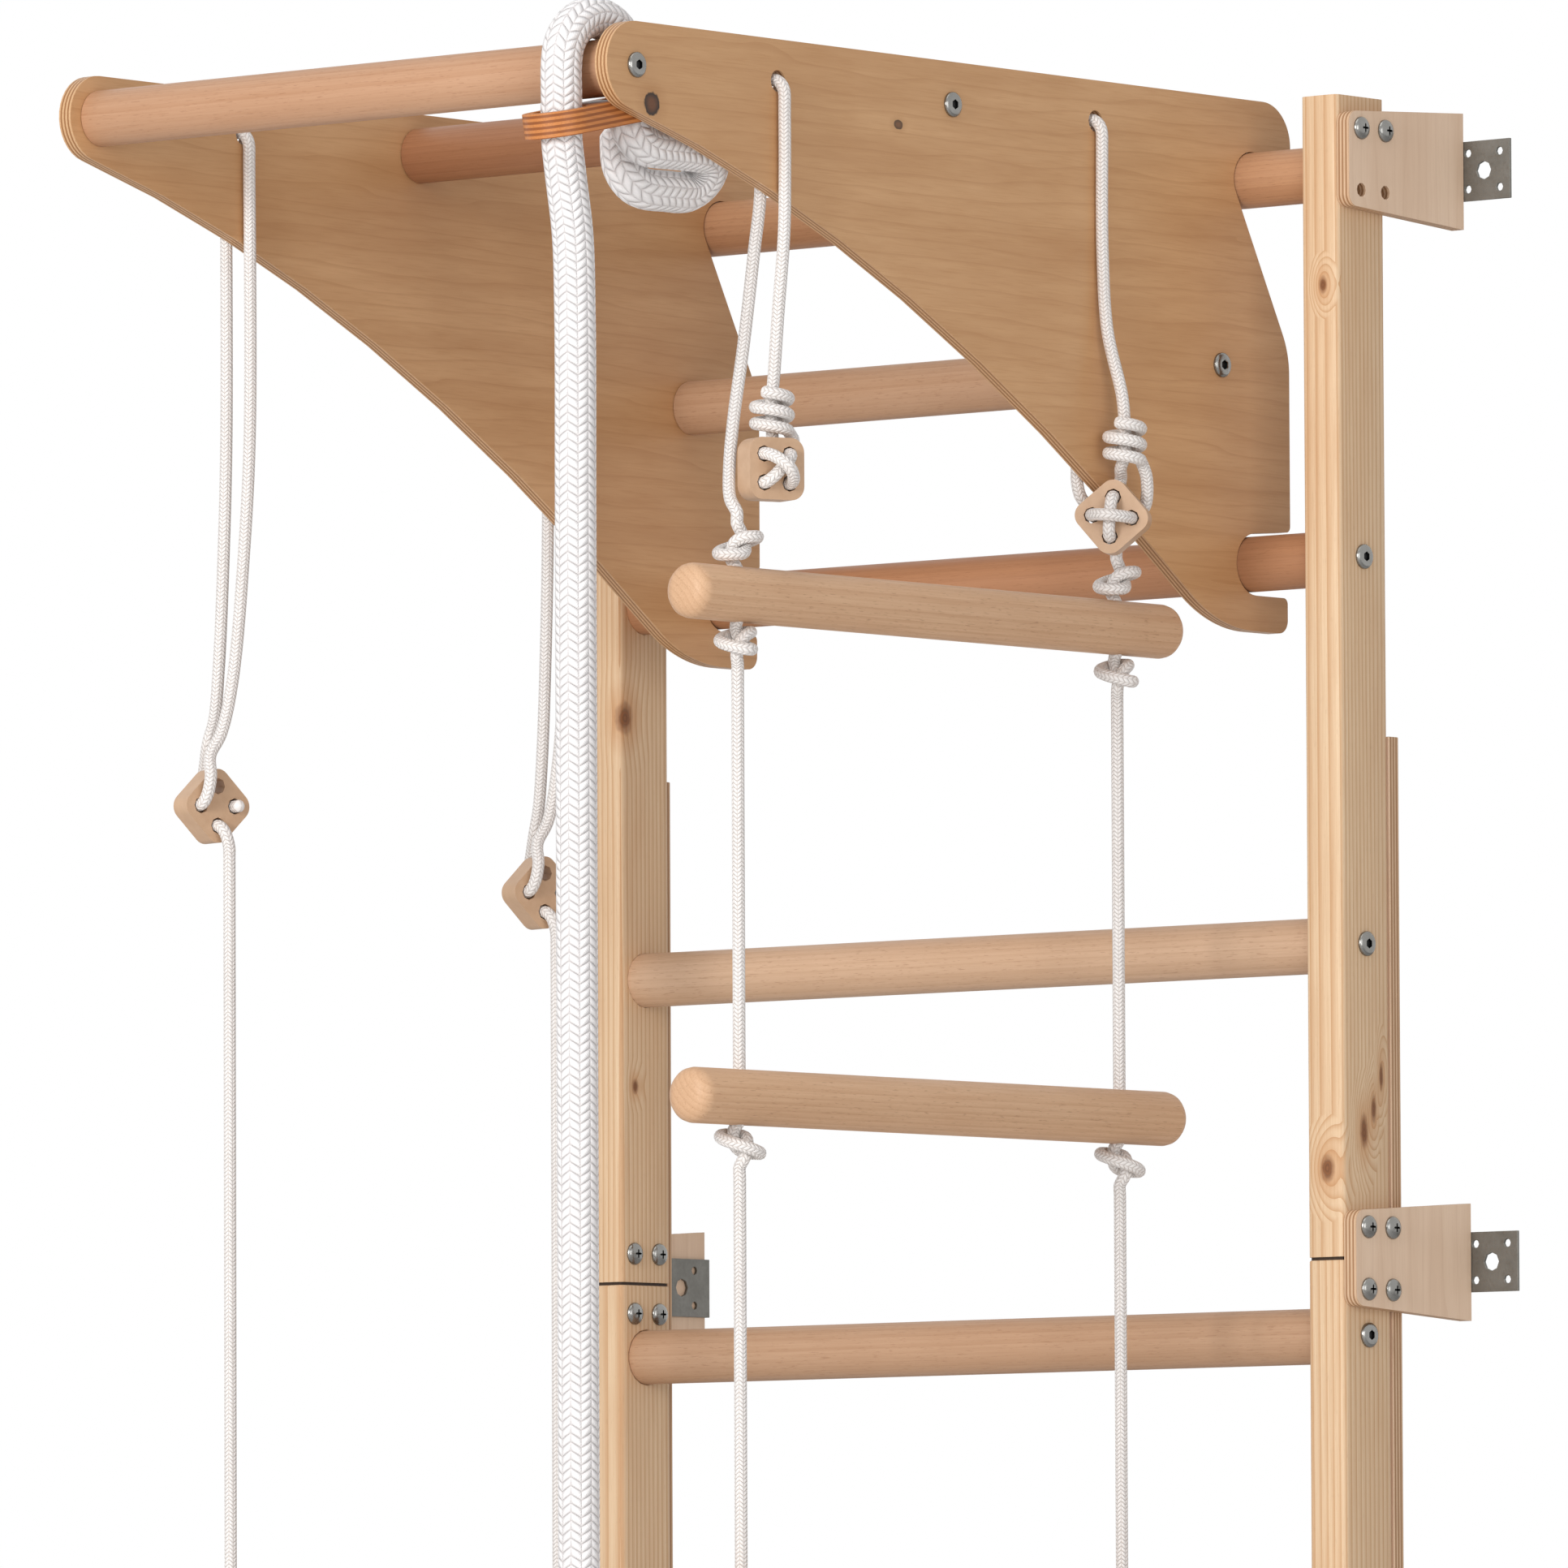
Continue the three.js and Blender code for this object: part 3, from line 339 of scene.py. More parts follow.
# A copy of a CAD node with its triangles merged and its edges eased
def easedCopy(node, material, slot, width, segments=2, angle=35):
    mesh = nodes[node].data.copy()
    mesh.name = node + "_eased"
    work = bmesh.new()
    work.from_mesh(mesh)
    bmesh.ops.remove_doubles(work, verts=work.verts, dist=2e-6)
    bmesh.ops.dissolve_limit(work, angle_limit=math.radians(0.6), verts=work.verts, edges=work.edges)
    for face in work.faces:
        face.smooth = True
    markSharp(work, angle)
    work.to_mesh(mesh)
    work.free()
    mesh.materials.clear()
    mesh.materials.append(material)
    made = bpy.data.objects.new(node + "_eased", mesh)
    bpy.context.scene.collection.objects.link(made)
    if width:
        bevelled(made, width, segments, angle)
    return dress(made, bodyOf[node], slot, node)


# A turned piece: the profile of (radius, distance along the axis) swept round the axis
def turned(profile, centre, axis, sides, radiusAt=None):
    along = np.asarray(axis, float) / np.linalg.norm(axis)
    seed = np.array([0, 0, 1.0]) if abs(along[2]) < 0.9 else np.array([0, 1.0, 0])
    side = np.cross(along, seed)
    side /= np.linalg.norm(side)
    across = np.cross(along, side)
    angles = np.arange(sides) * 2 * math.pi / sides
    points, faces = [], []
    for row, (radius, height) in enumerate(profile):
        for angle in angles:
            r = radiusAt(row, radius, angle) if radiusAt else radius
            outward = side * math.cos(angle) + across * math.sin(angle)
            points.append(np.asarray(centre) + along * height + outward * r)
    for row in range(len(profile) - 1):
        for k in range(sides):
            a, b = row * sides + k, row * sides + (k + 1) % sides
            faces.append((a, b, b + sides, a + sides))
    first, last = len(points), len(points) + 1
    points.append(np.asarray(centre) + along * profile[0][1])
    points.append(np.asarray(centre) + along * profile[-1][1])
    top = (len(profile) - 1) * sides
    for k in range(sides):
        n = (k + 1) % sides
        faces.append((first, n, k))
        faces.append((last, top + k, top + n))
    return points, faces


def roundedProfile(radius, half, edge, steps=5):
    corner = [(radius - edge + edge * math.cos(a), half - edge + edge * math.sin(a))
              for a in np.linspace(0, math.pi / 2, steps)]
    return [(r, -h) for r, h in corner[::-1]] + corner


# Cords: a smooth curve through the route's points, and a tube carried along it without twist. Each curve between two
# points blends straight lines through four points, spaced by the square roots of the distances between them.
def between(t, start, end, first, second):
    return (end - t) / (end - start) * first + (t - start) / (end - start) * second


def smoothCurve(points, step):
    given = np.asarray(points, float)
    ends = np.vstack([2 * given[0] - given[1], given, 2 * given[-1] - given[-2]])
    out = []
    for i in range(1, len(ends) - 2):
        p = ends[i - 1:i + 3]
        at = [0.0]
        for a, b in zip(p[:-1], p[1:]):
            at.append(at[-1] + max(np.linalg.norm(b - a), 1e-6) ** 0.5)
        count = max(2, int(np.linalg.norm(p[2] - p[1]) / step) + 1)
        for t in np.linspace(at[1], at[2], count, endpoint=False):
            lines = [between(t, at[k], at[k + 1], p[k], p[k + 1]) for k in range(3)]
            arcs = [between(t, at[k], at[k + 2], lines[k], lines[k + 1]) for k in range(2)]
            out.append(between(t, at[1], at[2], *arcs))
    out.append(given[-1])
    return np.asarray(out)


def cordPiece(name, line, diameter, sides, material):
    radius = diameter / 2
    tangents = np.gradient(line, axis=0)
    tangents /= np.linalg.norm(tangents, axis=1)[:, None]
    side = np.cross(tangents[0], [0.3, 0.9, 0.2])
    along = np.concatenate([[0], np.cumsum(np.linalg.norm(np.diff(line, axis=0), axis=1))])
    angles = np.arange(sides) * 2 * math.pi / sides
    points, faces, uvs = [], [], []
    for i, centre in enumerate(line):
        side = side - tangents[i] * np.dot(side, tangents[i])
        side /= np.linalg.norm(side)
        across = np.cross(tangents[i], side)
        points.extend(centre + radius * (np.cos(a) * side + np.sin(a) * across) for a in angles)
    for i in range(len(line) - 1):
        for k in range(sides):
            n = (k + 1) % sides
            a, b = i * sides + k, i * sides + n
            faces.append((a, b, b + sides, a + sides))
            uvs.extend([(along[i], k / sides), (along[i], (k + 1) / sides),
                        (along[i + 1], (k + 1) / sides), (along[i + 1], k / sides)])
    # Rounded ends: rings that shrink to a pole
    for end, sign in ((0, -1), (len(line) - 1, 1)):
        ring = [end * sides + k for k in range(sides)]
        for share in (0.5, 0.85):
            base = len(points)
            for k in range(sides):
                outward = points[end * sides + k] - line[end]
                points.append(line[end] + outward * math.cos(share * math.pi / 2)
                              + tangents[end] * sign * 0.6 * radius * math.sin(share * math.pi / 2))
            fresh = list(range(base, base + sides))
            for k in range(sides):
                n = (k + 1) % sides
                quad = (ring[k], ring[n], fresh[n], fresh[k])
                faces.append(quad if sign > 0 else quad[::-1])
                uvs.extend([(along[end], k / sides)] * 4)
            ring = fresh
        pole = len(points)
        points.append(line[end] + tangents[end] * sign * 0.6 * radius)
        for k in range(sides):
            n = (k + 1) % sides
            faces.append((ring[k], ring[n], pole) if sign > 0 else (ring[n], ring[k], pole))
            uvs.extend([(along[end], k / sides)] * 3)
    return makeObject(name, points, faces, material, uvs)


# An overhand knot drawn tight: its first half in cord widths from the knot's middle. The second half is the first one
# turned half round about the y axis. wide and long are the widths to use across and along the cord, in mm.
knotHalf = np.array([
    (0, 0, 1.65), (0.43, 0.09, 0.96), (0.51, -0.11, 0.27), (0.4, -0.53, -0.29), (-0.09, -0.95, -0.58),
    (-0.8, -1.0, -0.66), (-1.39, -0.63, -0.69), (-1.48, 0.07, -0.58), (-1.2, 0.7, -0.41), (-0.67, 1.15, -0.21),
    (0, 1.32, 0),
])
knotShape = np.vstack([knotHalf, knotHalf[-2::-1] * (-1, 1, -1)])


def knotLine(centre, wide, long, spin):
    x, y, z = (knotShape * (wide, wide, long)).T
    turn = math.radians(spin)
    turnedX = x * math.cos(turn) - y * math.sin(turn)
    turnedY = x * math.sin(turn) + y * math.cos(turn)
    return np.asarray(centre) + np.stack([turnedX, turnedY, z], axis=1)


def inUnit(points, panelSide=0):
    return np.asarray(points, float) + unitOrigin + np.array([panelSide * panelMiddle, 0, 0])


# Materials. Branch knots are given by their middles and half sizes, and piths by a point on each.
pineKnots = {
    "right_post_upper": [((310, -122, 2131), (4, 5, 7)), ((322, -100, 1585), (14, 5, 13)),
                         ((322, -90, 1600), (10, 3.5, 11)), ((322, -82, 1621), (10, 2.5, 11)),
                         ((309, -122, 1561), (7, 6, 11))],
    "left_post_upper": [((-292, -117, 1881), (7, 9, 13)), ((-292, -108, 1635), (4, 4, 6))],
    "left_post_middle": [((-300, -122, 1210), (7, 6, 10))],
    "right_post_middle": [((322, -88, 1105), (6, 6, 9))],
    "left_post_lower": [((-292, -95, 420), (6, 7, 10))],
    "right_post_lower": [((312, -122, 510), (6, 5, 9))],
}
pinePiths = {
    "left_post_upper": (-262, -150, 0), "left_post_middle": (-330, -40, 200), "left_post_lower": (-280, -60, 90),
    "right_post_upper": (350, -20, 0), "right_post_middle": (260, -170, 150), "right_post_lower": (290, -30, 60),
}
steelZinc = metalMaterial("zinc_plated_steel", "#7f7d78", "#6a6862", 0.52, 420)
steelScrew = metalMaterial("nickel_plated_steel", "#93928f", "#6f6c66", 0.24, 600)
# Dark steel colour for the insides of sockets and crosses: painted shade in the recesses
steelRecessShade = metalMaterial("steel_recess_painted_shade", "#3a3a3a", "#1f1f1f", 0.4, 600)
thinPly = {"count": 7, "thickness": 10}
birchFace = {"pale": "#d6a97b", "dark": "#b27f50", "edgePale": "#d4ab80", "edgeDark": "#99693f"}
panelKnots = [((232, -692, 2208), (10, 7.6, 7.6), 0.97), ((232, -454, 2214), (8, 4.5, 3.2), 0.85)]
panelMaterials = {
    "left": plyMaterial("birch_plywood_left", across=(1, 0, 0), grain="Y", plies=thinPly, start=-232, **birchFace),
    "right": plyMaterial("birch_plywood_right", across=(1, 0, 0), grain="Y", plies=thinPly, start=222,
                         knots=panelKnots, **birchFace),
}
paleFace = {"pale": "#edd1b6", "dark": "#d6b496", "edgePale": "#d6b594", "edgeDark": "#a17855"}
bracketPly = plyMaterial("pale_plywood", across=(1, 0, 0), grain="Z", plies=thinPly, start=322, roughness=0.55,
                         **paleFace)
battenPly = plyMaterial("batten_plywood", across=(0, 1, 0), grain="Z", plies=thinPly, start=-72, roughness=0.6,
                        **paleFace)
keeperTilt = math.radians(12)
keeperPly = plyMaterial("stained_plywood", "#c9824a", "#a4622f", "#cd8347", "#8f5023",
                        across=(0, -math.sin(keeperTilt), math.cos(keeperTilt)), grain="Y",
                        plies={"count": 9, "thickness": 16}, start=2347, roughness=0.4)
# The second colour of each braid is its painted shade in the grooves, also used for its soiling
cordBraid = braidMaterial("braided_polyamide_cord", "#f4efeb", "#cbc0b8", columns=8, stitch=2.6, lean=0.8, depth=0.6)
ropeBraid = braidMaterial("braided_climbing_rope", "#f6f3f2", "#d9d2d0", columns=12, stitch=5.4, lean=0.7, depth=1.4)
togglePlastic = plasticMaterial("moulded_toggle", "#c8a585", "#b89271")
print("materials made")


# Cords of the pull-up unit, on the same routes as the solids they stand for
bendRadius, holeTop, cordLift = 10.2, 26, 1.2
holeY = {"front": -474, "rear": -160}
toggleFacts = {
    "ladder_front": {"centre": (13, -492, -220), "turn": 20},
    "ladder_rear": {"centre": (17, -159, -230), "turn": 60},
    "ring_front": {"centre": (0, -500, -410), "turn": 15},
    "ring_rear": {"centre": (0, -182, -452), "turn": 15},
}
# Lacing through a toggle: across, up and out from its middle
lacing = [
    (9, 9, 3), (8.8, 8.8, 9.8), (5.8, 5.8, 13.7), (0, 0, 14.2), (-5.8, -5.8, 13.7), (-8.8, -8.8, 9.8),
    (-9, -9, 3), (-9, -9, -3), (-9, -8.8, -9.5), (-9, -6, -12.8), (-9, 0, -13.4), (-9, 6, -12.8),
    (-9, 8.8, -9.5), (-9, 9, -3), (-9, 9, 3), (-8.9, 8.9, 10.5), (-6, 6, 18.4), (0, 0, 23.4), (6, -6, 18.4),
    (8.9, -8.9, 10.5), (9, -9, 3), (9, -9, -3), (9.3, -8.8, -10.5), (11.5, -7, -13.2),
]


def placed(toggle, points, roll=0.0):
    yaw, turn = math.radians(toggle["turn"]), math.radians(roll)
    across = np.array([math.sin(yaw), math.cos(yaw), 0])
    out = np.array([math.cos(yaw), -math.sin(yaw), 0])
    up = np.array([0, 0, 1.0])
    u = across * math.cos(turn) + up * math.sin(turn)
    w = up * math.cos(turn) - across * math.sin(turn)
    return [np.asarray(toggle["centre"]) + a * u + b * w + c * out for a, b, c in points]


def bendPoints(y, start):
    springing = holeTop - bendRadius + cordLift
    bend = [(start * bendRadius * math.cos(a), y, springing + bendRadius * math.sin(a))
            for a in np.linspace(0, math.pi, 9)]
    lead = springing - 8
    return [(start * bendRadius, y, lead)] + bend + [(-start * bendRadius, y, lead)]


def wrapPoints(x, y, z, radius=10.5, pitch=10.4, turns=2.3):
    out = []
    for turn in np.arange(0, round(turns * 12) + 1) / 12:
        angle = math.pi / 4 - turn * 2 * math.pi
        out.append((x + radius * math.cos(angle), y + radius * math.sin(angle), z + turn * pitch))
    return out


frontToggle, rearToggle = toggleFacts["ladder_front"], toggleFacts["ladder_rear"]
frontLadderRoute = (
    [(3, -513, -252), (2.8, -513, -247.5), (-3, -512.5, -238.5), (-8, -507.5, -220), (-8.5, -503, -190),
     (-9, -492, -140), (-bendRadius, -480, -80), (-bendRadius, -474, -45)]
    + bendPoints(holeY["front"], -1)
    + [(bendRadius, -474, -30), (bendRadius, -475, -70), (8.5, -479, -120), (7.3, -482, -160), (6.6, -483.3, -175),
       (6, -482.5, -194)]
    + placed(frontToggle, [(9, 17.5, -13.2), (9, 12.4, -12), (9, 9.6, -8.6), (9, 9, -3), *lacing,
                           (17, 0, -14), (20.5, 10, -13.4), (22, 19, -10)])
    + wrapPoints(6.6, -483.3, -195.5)
)
rearLadderRoute = (
    [(3, -139, -252), (2.7, -139.4, -247)]
    + placed(rearToggle, [(-7.5, -9, -23), (-14, 6, -20.5)])
    + [(-8.5, -159, -217), (-bendRadius, -162, -207), (-bendRadius, -160, -170)]
    + bendPoints(holeY["rear"], -1)
    + [(bendRadius, -160, -60), (13.5, -159.5, -110), (22, -155.5, -152), (23.5, -155, -170), (23.5, -155, -190)]
    + placed(rearToggle, [(4, 32, -6), (3, 27, -13), (2, 21, -13.4), (1.4, 16.4, -12.2), (1.1, 13.4, -8.6),
                          (1.1, 12.7, -3)])
    + placed(rearToggle, lacing, roll=40)
    + placed(rearToggle, [(18.5, 8.5, -13.6)])
    + [(30, -141, -204)]
    + wrapPoints(23.5, -155, -194)
)
ringLacing = [
    (12.7, 0, 13.5), (12.7, 0, 8), (12.7, 0, -3), (12.2, 0, -9.5), (8.5, 0, -13), (0, 0, -13.6),
    (-8.5, 0, -13), (-12.2, 0, -9.5), (-12.7, 0, -3), (-12.7, 0, 4), (-12.6, 1.5, 10), (-11.5, 7, 13.5),
    (-9, 18, 13.5), (-6, 32, 8),
]
ringOutlet = [
    (4, 42, -10), (6, 28, -17), (6.5, 10, -22.3), (5, -6, -22), (1.5, -12, -16), (0.3, -12.6, -10),
    (0, -12.7, -3), (0, -12.7, 4), (0.2, -13.5, 10), (1.5, -18, 14.2), (3.9, -27, 15), (4, -32, 15),
]
# Strands of a ring sling: sideways place, share of the way from hole to toggle, rise over the toggle
risingStrand = [(7.5, 0.95, 47), (8, 0.55, 82), (9, 0.18, 162), (bendRadius, 0, 242)]
fallingStrand = [(-bendRadius, 0, 242), (-9.6, 0.14, 162), (-9.5, 0.32, 92), (-9.3, 0.5, 57)]
ringRoutes = {name: {"toggle": toggleFacts[f"ring_{name}"], "hole": holeY[name]} for name in ("front", "rear")}


def strandPoints(facts, strand):
    centre = facts["toggle"]["centre"]
    return [(x, facts["hole"] + share * (centre[1] - facts["hole"]), centre[2] + rise) for x, share, rise in strand]


cordFacts = {"width": 8.0, "sides": 14, "material": cordBraid, "slot": "braided_cord", "ending": "_cord"}
ropeFacts = {"width": 26.0, "sides": 24, "material": ropeBraid, "slot": "braided_rope", "ending": "_braid"}
cordKnot = {"wide": 8.4, "long": 8.8}
ropeKnot = {"wide": 27.2, "long": 28}


def layCord(node, route, panelSide, step, facts, body):
    line = smoothCurve(inUnit(route, panelSide), step)
    made = cordPiece(node + facts["ending"], line, facts["width"], facts["sides"], facts["material"])
    dress(made, body, facts["slot"], node)


for name, route in (("front", frontLadderRoute), ("rear", rearLadderRoute)):
    layCord(f"ladder_{name}_sling", route, 1, 2.0, cordFacts, "pull_up_unit")
for name, facts in ringRoutes.items():
    route = (placed(facts["toggle"], ringLacing) + strandPoints(facts, risingStrand) + bendPoints(facts["hole"], 1)
             + strandPoints(facts, fallingStrand) + placed(facts["toggle"], ringOutlet))
    layCord(f"ring_{name}_sling", route, -1, 2.0, cordFacts, "pull_up_unit")

# Ladder cords: straight between overhand knots, one over the first rung and one under every rung. Each knot is
# turned on from the one above.
ladderX, ladderTop, ladderPitch = 3.0, -299, 314
ladderRadius, knotOver, knotUnder = 17.5, 12.5, 29
ladderKnots = [ladderTop + ladderRadius + knotOver]
ladderKnots += [ladderTop - ladderPitch * i - knotUnder for i in range(5)]
for name, y in (("front", -513), ("rear", -139)):
    route = [(ladderX, y, -251)]
    for i, z in enumerate(ladderKnots):
        route += [(ladderX, y, z + lead) for lead in (60, 22)[max(0, 2 - i):]]
        route += list(knotLine((ladderX, y, z), **cordKnot, spin=40 + 67 * i + y % 90))
        if i:
            route.append((ladderX, y, z - 22))
    route.append((ladderX, y, ladderKnots[-1] - 44))
    layCord(f"ladder_{name}_rope", route, 1, 2.5, cordFacts, "rope_ladder")

# Ring cords: down to a knot, round the ring in a loop and back up into the knot
ringKnotZ, loopDrop, ringLoop, loopSpread, loopGap = -944.0, 12.5, 18.5, 8.4, 0.45
for name, facts in ringRoutes.items():
    pivot = placed(facts["toggle"], [(4, -31, 15)])[0]
    x, y = pivot[:2]
    loopZ = ringKnotZ - loopDrop - ringLoop
    loop = [(x - ringLoop * math.sin(a), y - loopSpread / 2 + loopSpread * a / (2 * math.pi),
             loopZ + ringLoop * math.cos(a)) for a in np.linspace(loopGap, 2 * math.pi - loopGap, 22)]
    knot = knotLine((x, y, ringKnotZ), **cordKnot, spin=30)[:-1]
    route = [pivot, (x, y, ringKnotZ + 40), (x, y, ringKnotZ + 22), *knot, *loop, (x + 2, y + 4, ringKnotZ - 6)]
    layCord(f"ring_{name}_rope", route, -1, 2.5, cordFacts, f"{name}_ring")

# Climbing rope: stopper knot behind the keeper, over the bar, down in front to its end knot
ropeX, barY, barZ, loopRadius, endKnotZ = 198.5, -610.0, 25, 32.0, -1900
strandY, hangY = barY - loopRadius, barY - 20
quarter, halfTurn = np.linspace(0, math.pi / 2, 5), np.linspace(0, math.pi, 9)
stopper = (
    [(172, -556, -11), (173, -557, -20)]
    + [(174 + 2 * k, -541 - 16 * math.sin(a), -28 - 16 * math.cos(a)) for k, a in enumerate(quarter[::-1])]
    + [(184, -528, -44)]
    + [(194 - 9 * math.cos(a), -515 + 15 * math.sin(a), -32 - 12 * math.cos(a)) for a in halfTurn]
    + [(202.5, -540, -20)]
    + [(201.5 - 0.7 * k, -562 - 16 * math.sin(a), -4 - 16 * math.cos(a)) for k, a in enumerate(quarter)]
)
over = [(ropeX, barY + loopRadius * math.cos(a), barZ + loopRadius * math.sin(a)) for a in halfTurn]
hanging = [
    (strandY, 5), (strandY, -20), (hangY - 8, -45), (hangY - 2, -80), (hangY, -130), (hangY, -260), (hangY, -900),
    (hangY, endKnotZ + 100), (hangY, endKnotZ + 68),
]
ropeRoute = [
    *stopper, (ropeX, barY + loopRadius, 8), *over, *((ropeX, y, z) for y, z in hanging),
    *knotLine((ropeX, hangY, endKnotZ), **ropeKnot, spin=60), (ropeX, hangY, endKnotZ - 58),
]
layCord("climbing_rope", ropeRoute, 0, 4.0, ropeFacts, "climbing_rope")
print("cords made")


# Posts, battens, brackets, angles, panels, toggles and the keeper: eased copies of the solids
for side in ("left", "right"):
    for section in ("upper", "middle", "lower"):
        node = f"{side}_post_{section}"
        pine = woodMaterial(f"pine_{side}_{section}", "#e4c8a5", "#bb8656", "Z", pinePiths[node], ring=3.6,
                            contrast=0.68, fleck=0.12, knots=pineKnots[node], roughness=0.55, warp=9.0)
        easedCopy(node, pine, "pine", 1.2)
    for index in (1, 2):
        easedCopy(f"{side}_splice_batten_{index}", battenPly, "pale_ply", 0.6)
    for place in ("top", "upper_splice", "lower_splice"):
        easedCopy(f"{side}_bracket_{place}", bracketPly, "pale_ply", 1.0)
        easedCopy(f"{side}_wall_angle_{place}", steelZinc, "angle_steel", 0.3)
    easedCopy(f"{side}_side_panel", panelMaterials[side], "birch_ply", 1.4, 3)

# The crack where two sections of a post meet, filled with painted shade: a dark box set in from the faces that laps
# into both sections
crackShadeWood = woodMaterial("pine_ends_in_painted_shade", "#3a2818", "#22150b", "Z", (0, 0, 0), ring=3.6, contrast=0.4, fleck=0.1)
crackInset, crackLap = 2, 0.3
boxFaces = [(0, 3, 2, 1), (4, 5, 6, 7)] + [(k, (k + 1) % 4, (k + 1) % 4 + 4, k + 4) for k in range(4)]
for side in ("left", "right"):
    for above, below in (("upper", "middle"), ("middle", "lower")):
        low, high = (np.array(v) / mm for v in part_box(f"{side}_post_{below}"))
        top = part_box(f"{side}_post_{above}")[0][2] / mm + crackLap
        (x0, y0), (x1, y1) = low[:2] + crackInset, high[:2] - crackInset
        corners = [(x, y, z) for z in (high[2] - crackLap, top) for x, y in ((x0, y0), (x1, y0), (x1, y1), (x0, y1))]
        crack = makeObject(f"{side}_post_crack_shade_{below}", corners, boxFaces, crackShadeWood, smooth=False)
        dress(crack, "wall_frame", "pine")

for name in toggleFacts:
    easedCopy(f"{name}_toggle", togglePlastic, "moulded_toggle", 2.2, 3)
easedCopy("rope_keeper", keeperPly, "stained_ply", 1.6, 3)
print("solids dressed")


# Turned hardwood: rungs, dowels and ladder rungs
# Tones for some pieces: the middle dowel's is darkened as painted shade and rung 3's is lightened as painted light
# against the shadow it lies in; the other entries differ piece by piece
beechTonesAndPaintedLight = {
    "rung_1": ("#c3946f", "#a37250"), "rung_2": ("#b5825e", "#976746"), "rung_3": ("#d0ad8f", "#b18b6a"),
    "pull_up_bar": ("#c39878", "#a5744f"), "middle_dowel": ("#a87553", "#8b5a3b"), "ladder": ("#dab38f", "#b4835d"),
}
turnedFacts = {f"rung_{i}": {"diameter": 36, "edge": 1.0} for i in range(1, 10)}
turnedFacts.update({name: {"diameter": 36, "edge": 0.6} for name in ("pull_up_bar", "middle_dowel", "rear_dowel")})
turnedFacts.update({f"ladder_rung_{i}": {"diameter": 35, "edge": 9.0} for i in range(1, 6)})
for index, (node, facts) in enumerate(turnedFacts.items()):
    low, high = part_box(node)
    centre = np.array((low + high) / 2) / mm
    grain = "Y" if node.startswith("ladder") else "X"
    axis = (0, 1, 0) if grain == "Y" else (1, 0, 0)
    half = (high - low)["XYZ".index(grain)] / mm / 2
    offset = np.array([0, 31, 23]) if grain == "X" else np.array([28, 0, 26])
    pith = centre + offset * (1 if index % 2 else -1)
    pale, dark = beechTonesAndPaintedLight.get(node.split("_rung")[0], ("#c39d7e", "#a37856"))
    beech = woodMaterial(f"beech_{node}", pale, dark, grain, tuple(pith), ring=4.2, contrast=0.30, fleck=0.34,
                         roughness=0.48, warp=5.0)
    points, faces = turned(roundedProfile(facts["diameter"] / 2, half, facts["edge"]), centre, axis, 56)
    dress(makeObject(f"{node}_turned", points, faces, beech), bodyOf[node], "beech", node)

# Rings: a round section, thick in radius, carried round a circle of the reach
ringFacts = {"reach": 76, "thick": 14, "steps": 72, "sides": 24}
for name in ("front", "rear"):
    node = f"ring_{name}"
    low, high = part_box(node)
    centre = np.array((low + high) / 2) / mm
    points, faces = [], []
    middle, thick, steps, sides = (ringFacts[k] for k in ("reach", "thick", "steps", "sides"))
    for i in range(steps):
        a = 2 * math.pi * i / steps
        for k in range(sides):
            b = 2 * math.pi * k / sides
            reach = middle + thick * math.cos(b)
            points.append(centre + np.array([thick * math.sin(b), reach * math.cos(a), reach * math.sin(a)]))
            j, n = (i + 1) % steps, (k + 1) % sides
            faces.append((i * sides + k, i * sides + n, j * sides + n, j * sides + k))
    ringWood = plyMaterial(f"bent_laminated_wood_{name}", across=(1, 0, 0), grain="Y",
                           plies={"count": 9, "thickness": 2 * thick}, start=centre[0] - thick, **birchFace)
    made = makeObject(f"{node}_bent", points, faces, ringWood)
    work = bmesh.new()
    work.from_mesh(made.data)
    bmesh.ops.recalc_face_normals(work, faces=work.faces)
    work.to_mesh(made.data)
    work.free()
    dress(made, bodyOf[node], "ring_wood", node)
print("turned pieces made")


# Hardware: socket bolts and cross-head screws, gathered into one mesh for each group
boltFacts = {"radius": 8.0, "proud": 3.0, "socket": 2.6, "sides": 36, "recessRow": 7}
screwFacts = {"radius": 7.4, "proud": 4.2, "cross": 3.0, "sides": 40, "recessRow": 8}


def hexRadius(flat, angle):
    sector = (angle + math.pi / 6) % (math.pi / 3) - math.pi / 6
    return flat / math.cos(sector)


def boltMesh(centre, axis):
    r, h, s = boltFacts["radius"], boltFacts["proud"], boltFacts["socket"]
    profile = [(r, -0.2), (r, h - 1.4), (r - 0.3, h - 1.0), (r - 1.3, h - 0.2), (r - 2.0, h), (s + 1.6, h),
               (s + 0.7, h), (s + 0.2, h - 0.1), (s, h - 1.8), (0.2, h - 2.0)]
    return turned(profile, centre, axis, boltFacts["sides"],
                  lambda row, radius, a: hexRadius(radius, a) if row in (7, 8) else radius)


def screwMesh(centre, axis):
    r, h, c = screwFacts["radius"], screwFacts["proud"], screwFacts["cross"]
    dome = [(r * math.cos(a), h * math.sin(a) * 0.85 + 0.5) for a in np.linspace(0, math.radians(62), 7)]
    profile = [(r, -0.2)] + dome + [(c, h * 0.85 + 0.4), (c * 0.8, h * 0.4), (0.2, h * 0.2)]
    cross = len(profile) - 3
    return turned(profile, centre, axis, screwFacts["sides"],
                  lambda row, radius, a: radius * (0.34 + 0.66 * abs(math.cos(2 * a)) ** 2.5)
                  if row in (cross, cross + 1) else radius)
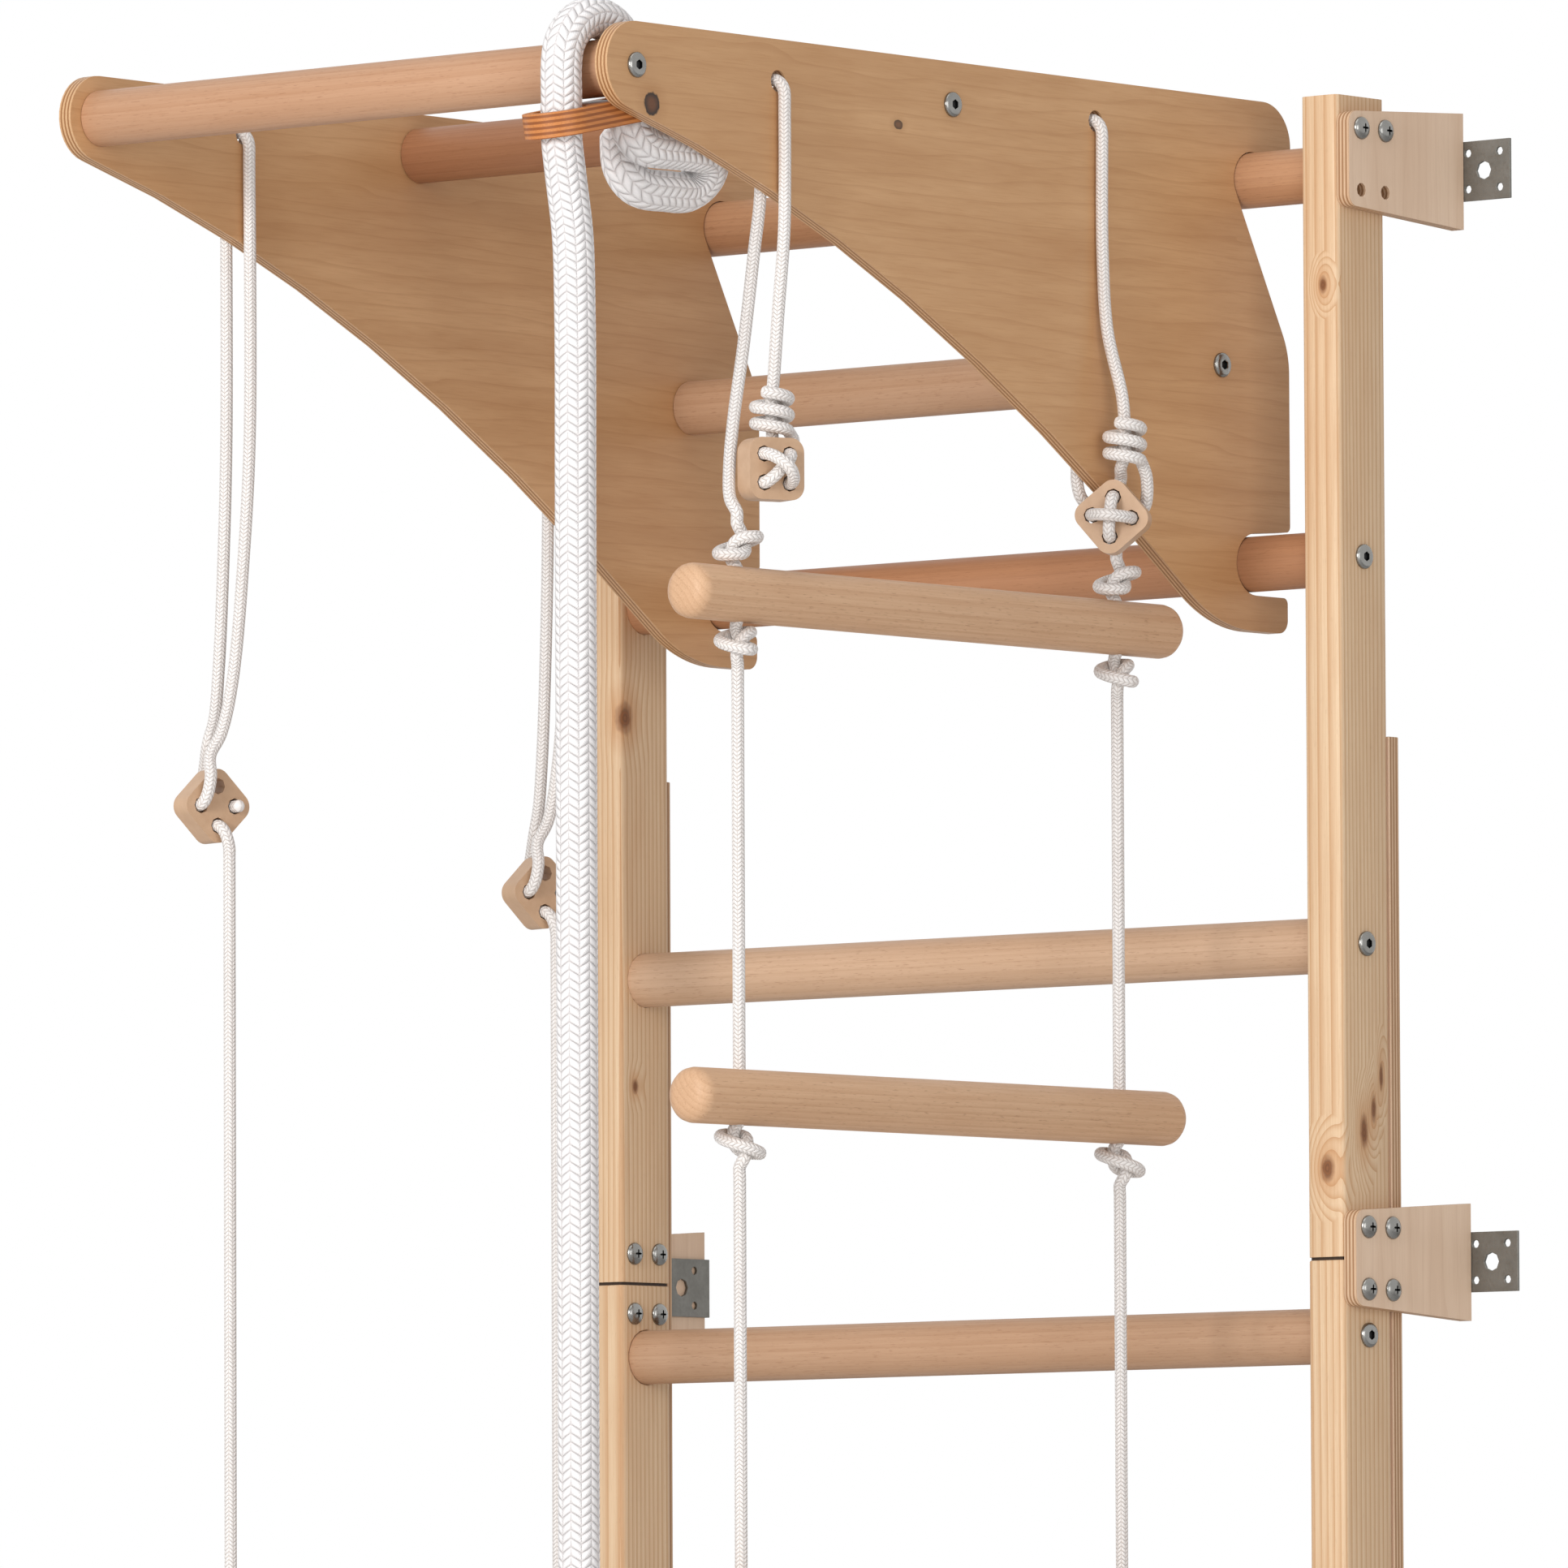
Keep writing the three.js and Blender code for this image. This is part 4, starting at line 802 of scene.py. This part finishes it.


# The faces from the recess row inwards, and the end fan, take the dark colour that paints the shade inside the
# sockets and crosses
def gathered(name, meshes, body, facts):
    points, faces, recess = [], [], []
    for some, theirFaces in meshes:
        base = len(points)
        points.extend(some)
        faces.extend(tuple(i + base for i in f) for f in theirFaces)
        recess.extend(min(f) >= facts["recessRow"] * facts["sides"] for f in theirFaces)
    made = makeObject(name, points, faces, steelScrew)
    mesh = made.data
    mesh.materials.append(steelRecessShade)
    mesh.polygons.foreach_set("material_index", [int(dark) for dark in recess])
    work = bmesh.new()
    work.from_mesh(mesh)
    bmesh.ops.recalc_face_normals(work, faces=work.faces)
    markSharp(work, 38)
    work.to_mesh(mesh)
    work.free()
    return dress(made, body, "angle_steel")


# Heights of the rungs and of the middles of the brackets
rungZ = [2206, 1956, 1706, 1454, 1204, 954, 702, 452, 202]
bracketZ = {"top": 2212.0, "upper_splice": 1503.0, "lower_splice": 751.0}
# Distances from the middle plane to the faces that the heads sit on
postOuter, postInner, panelOuter, bracketOuter = 322, 292, 232, 332.3
rungY, topZ = unitOrigin[1:]
postBolts, bracketScrews, panelBolts = [], [], []
for sign in (-1, 1):
    out = (sign, 0, 0)
    postBolts += [boltMesh((sign * postOuter, rungY, z), out) for z in rungZ[1:]]
    panelBolts += [boltMesh((sign * panelOuter, rungY + y, topZ + z), out)
                   for y, z in ((barY, barZ), (-304, 25), (-33, -122.5))]
    for place, z in bracketZ.items():
        for y in (-12.5, 12.5):
            for up in (20,) if place == "top" else (-20, 20):
                bracketScrews.append(screwMesh((sign * bracketOuter, rungY + y, z + up), out))
                bracketScrews.append(screwMesh((sign * postInner, rungY + y, z + up), (-sign, 0, 0)))
gathered("post_bolts", postBolts, "wall_frame", boltFacts)
gathered("bracket_screws", bracketScrews, "wall_frame", screwFacts)
gathered("panel_bolts", panelBolts, "pull_up_unit", boltFacts)
print("hardware made")


# Studio: pale floor, white surroundings, soft lamps
floorSize = 14.0
floorMesh = bpy.data.meshes.new("floor")
half = floorSize / 2
floorMesh.from_pydata([(-half, -half, 0), (half, -half, 0), (half, half, 0), (-half, half, 0)], [], [(0, 1, 2, 3)])
floor = bpy.data.objects.new("floor", floorMesh)
floor.location = (0, 0, -0.0006)
bpy.context.scene.collection.objects.link(floor)
floorMaterial, _, floorShader = newMaterial("pale_floor")
floorShader.inputs["Base Color"].default_value = linear("#f4f3f1")
floorShader.inputs["Roughness"].default_value = 0.7
floorMesh.materials.append(floorMaterial)

world = bpy.data.worlds.new("studio")
bpy.context.scene.world = world
world.use_nodes = True
sky = world.node_tree
rays = addNode(sky, "ShaderNodeLightPath")
seen = maths(sky, "MAXIMUM", rays.outputs["Is Camera Ray"],
             maths(sky, "MAXIMUM", rays.outputs["Is Glossy Ray"], rays.outputs["Is Transmission Ray"]))
background = sky.nodes["Background"]
sky.links.new(mixed(sky, seen, [0.38, 0.38, 0.39, 1], [1, 1, 1, 1]), background.inputs["Color"])

lampFacts = {
    "key": {"place": (0.4, -6.2, 2.9), "size": 2.0, "power": 200},
    "fill": {"place": (5.2, -3.2, 2.4), "size": 3.0, "power": 80},
    "top": {"place": (0.5, -1.5, 5.2), "size": 2.4, "power": 26},
}
for name, facts in lampFacts.items():
    lamp = bpy.data.lights.new(name, "AREA")
    lamp.energy = facts["power"]
    lamp.size = facts["size"]
    item = bpy.data.objects.new(name, lamp)
    item.location = facts["place"]
    aim = Vector((0, -0.3, 1.7)) - Vector(facts["place"])
    item.rotation_mode = "QUATERNION"
    item.rotation_quaternion = aim.to_track_quat("-Z", "Y")
    bpy.context.scene.collection.objects.link(item)
bpy.context.scene.view_settings.view_transform = "Standard"
print("studio set")
